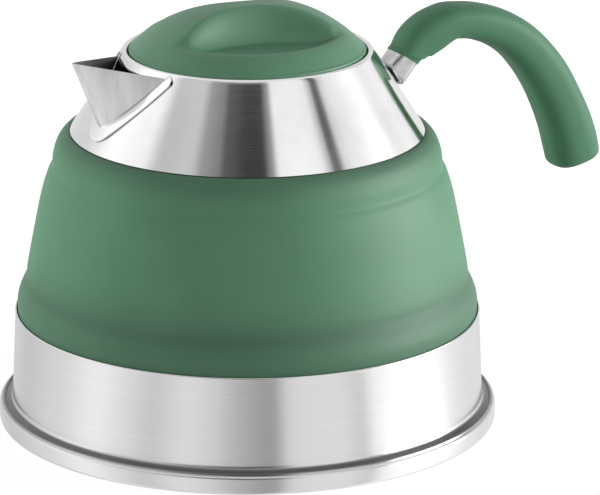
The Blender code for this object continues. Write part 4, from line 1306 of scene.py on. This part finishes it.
SHARP = math.radians(38)
for make, node, body, slot, finish in PIECES:
    piece = make()
    piece.data.materials.clear()
    piece.data.materials.append(FINISHES[finish])
    piece.data.shade_smooth()
    piece.data.set_sharp_from_angle(angle=SHARP)
    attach(piece, body)
    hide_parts(node)


# Floor, light, camera

TURN = math.radians(-29)
FLOOR_LEVEL = -0.0002


def studio_floor():
    """Pale round floor, a disc of four rings. Camera rays get some light of its own added,
    so that it reads as white, and it keeps the kettle's soft shadow. The steel shows the
    table of the tent in its place."""
    turn = np.arange(96) * math.tau / 96
    radius = np.array((0, 0.3, 0.8, 2.0, 9.0))[:, None]
    level = np.full((len(radius), len(turn)), FLOOR_LEVEL)
    grid = np.stack([radius * np.cos(turn), radius * np.sin(turn), level], axis=-1)
    floor = skin("pale_floor", grid)
    made, graph = material("pale_floor_paint")
    to_camera = graph.add("ShaderNodeLightPath")
    here = graph.add("ShaderNodeTexCoord", output=3)
    away = graph.add("ShaderNodeVectorMath", {"operation": "LENGTH"}, {0: here}, output=1)
    light = 0.80 + away.ramped(0.16, 0.8) * 0.18
    white = graph.add("ShaderNodeEmission", {}, {"Color": WHITE, "Strength": light})
    paint = graph.add("ShaderNodeBsdfDiffuse", {}, {"Color": grey(0.4)})
    both = graph.add("ShaderNodeAddShader", {}, {0: paint, 1: white})
    shown = graph.add("ShaderNodeMixShader", {}, {0: to_camera, 1: paint, 2: both})
    graph.add("ShaderNodeOutputMaterial", {}, {"Surface": shown})
    floor.data.materials.append(made)
    floor.visible_glossy = False


# What the steel shows all round: (degrees to the right of the camera, brightness)
TENT = (
    (-180, 0.8), (-125, 0.95), (-107, 1.25), (-84, 1.12), (-68, 0.62), (-46, 0.68),
    (-35, 0.35), (-25, 0.27), (-18, 0.10), (0, 0.035), (13, 0.04), (20, 0.30),
    (26, 1.03), (46, 1.03), (58, 0.98), (64, 0.60), (67, 0.10), (71, 0.12),
    (76, 0.80), (84, 0.95), (103, 1.15), (138, 0.64), (180, 0.8),
)
TABLE = (
    (-180, 0.80), (-138, 0.76), (-107, 0.95), (-79, 1.25), (-60, 1.00), (-49, 0.80),
    (-29, 1.06), (-16, 0.90), (-6, 0.66), (6, 0.50), (14, 0.36), (19, 1.00),
    (49, 1.04), (54, 0.88), (58, 0.66), (65, 1.34), (90, 1.40), (105, 1.26),
    (121, 1.08), (145, 0.96), (180, 0.80),
)
TENT_TOP = 0.9

# What the tent gives as a light, up to about 25 degrees
LIGHT = (
    (-180, 0.88), (-135, 0.84), (-90, 0.82), (-60, 0.94), (-20, 1.34), (22, 1.38),
    (67, 1.46), (112, 1.22), (157, 0.98), (180, 0.88),
)


def studio_world():
    """Light tent over a pale table. The steel shows the tent's panels, with a dark gap
    over the camera and a thin dark seam to its right, and the table's paler panels below
    them. As a light the tent is bright up to about 25 degrees and dim above, because the
    softboxes light the kettle too. It is white to the camera."""
    world = bpy.data.worlds.new("light_tent")
    bpy.context.scene.world = world
    world.use_nodes = True
    graph = Graph(world.node_tree)
    where = graph.add("ShaderNodeTexCoord", output=0)
    sockets = {"Vector": where, "Rotation": (0, 0, -TURN)}
    turned_round = graph.add("ShaderNodeMapping", {"vector_type": "POINT"}, sockets)
    x = graph.add("ShaderNodeSeparateXYZ", {}, {"Vector": turned_round})
    y, z = x.beside("Y"), x.beside("Z")
    azimuth = graph.add("ShaderNodeMath", {"operation": "ARCTAN2"}, {0: x, 1: y * -1.0})
    azimuth = azimuth * (180 / math.pi)

    def around(panels):
        """A panel's brightness at each azimuth, smooth from one row to the next."""
        wall = panels[0][1]
        for (low, before), (high, after) in zip(panels, panels[1:]):
            wall = azimuth.ramped(low, high) * (after - before) + wall
        return wall

    table, tent = around(TABLE), around(TENT)
    tent = tent + (TENT_TOP - tent) * z.ramped(0.76, 0.86)
    shine = table + (tent - table) * z.ramped(0.20, 0.40)
    light = around(LIGHT) * (1 - z.ramped(0.33, 0.55) * 0.93)
    to_camera = graph.add("ShaderNodeLightPath")
    strength = shine + (light - shine) * to_camera.beside("Is Diffuse Ray")
    tent = graph.add("ShaderNodeBackground", {}, {"Color": WHITE, "Strength": strength})
    white = graph.add("ShaderNodeBackground", {}, {"Color": WHITE, "Strength": 1.0})
    shown = graph.add("ShaderNodeMixShader", {}, {0: to_camera, 1: tent, 2: white})
    graph.add("ShaderNodeOutputWorld", {}, {"Surface": shown})


SOFTBOX_SIZE = (1.0, 0.9)
SOFTBOX_DISTANCE = 1.6
SOFTBOX_HEIGHT = 0.35
SOFTBOX_AIM = Vector((0, 0, 0.08))


def softbox(name, azimuth, power, shines=True):
    """Area light aimed at the kettle, placed by degrees to the right of the camera."""
    angle = math.radians(azimuth)
    place = Vector((math.sin(angle), -math.cos(angle), 0)) * SOFTBOX_DISTANCE
    place.z = SOFTBOX_HEIGHT
    place.rotate(Euler((0, 0, TURN)))
    light = bpy.data.lights.new(name, "AREA")
    light.shape = "RECTANGLE"
    light.size, light.size_y = SOFTBOX_SIZE
    light.energy = power
    obj = bpy.data.objects.new(name, light)
    obj.location = place
    obj.rotation_euler = (SOFTBOX_AIM - place).to_track_quat("-Z", "Y").to_euler()
    obj.visible_glossy = shines
    bpy.context.scene.collection.objects.link(obj)


CAMERA_AWAY = 1.8487
CAMERA_HEIGHT = 0.6379
CAMERA_PITCH = math.radians(17.05)
CAMERA_YAW = math.radians(0.6386)
CAMERA_LENS_MM = 282.6


def camera():
    """The photograph's camera: 1.96 m away, 17 degrees down, its axis a little to the
    right of the kettle, as a crop of a wider picture has it. It looks along Y, is pitched
    down and yawed, and is then turned round the kettle."""
    level = Vector((0, math.cos(CAMERA_PITCH), -math.sin(CAMERA_PITCH)))
    up = Vector((0, math.sin(CAMERA_PITCH), math.cos(CAMERA_PITCH)))
    side = Vector((1, 0, 0))
    ahead = level * math.cos(CAMERA_YAW) + side * math.sin(CAMERA_YAW)
    right = side * math.cos(CAMERA_YAW) - level * math.sin(CAMERA_YAW)
    lens = bpy.data.cameras.new("photograph_camera")
    lens.lens = CAMERA_LENS_MM
    lens.sensor_width = 36
    lens.clip_end = 60
    obj = bpy.data.objects.new("photograph_camera", lens)
    aim = Matrix((right, up, -ahead)).transposed().to_4x4()
    place = Matrix.Translation((0, -CAMERA_AWAY, CAMERA_HEIGHT))
    obj.matrix_world = Matrix.Rotation(TURN, 4, "Z") @ place @ aim
    bpy.context.scene.collection.objects.link(obj)
    bpy.context.scene.camera = obj


studio_floor()
studio_world()
softbox("right_softbox", 90, 22.5)
softbox("left_softbox", -110, 21, shines=False)
camera()
bpy.context.scene.view_settings.view_transform = "Standard"
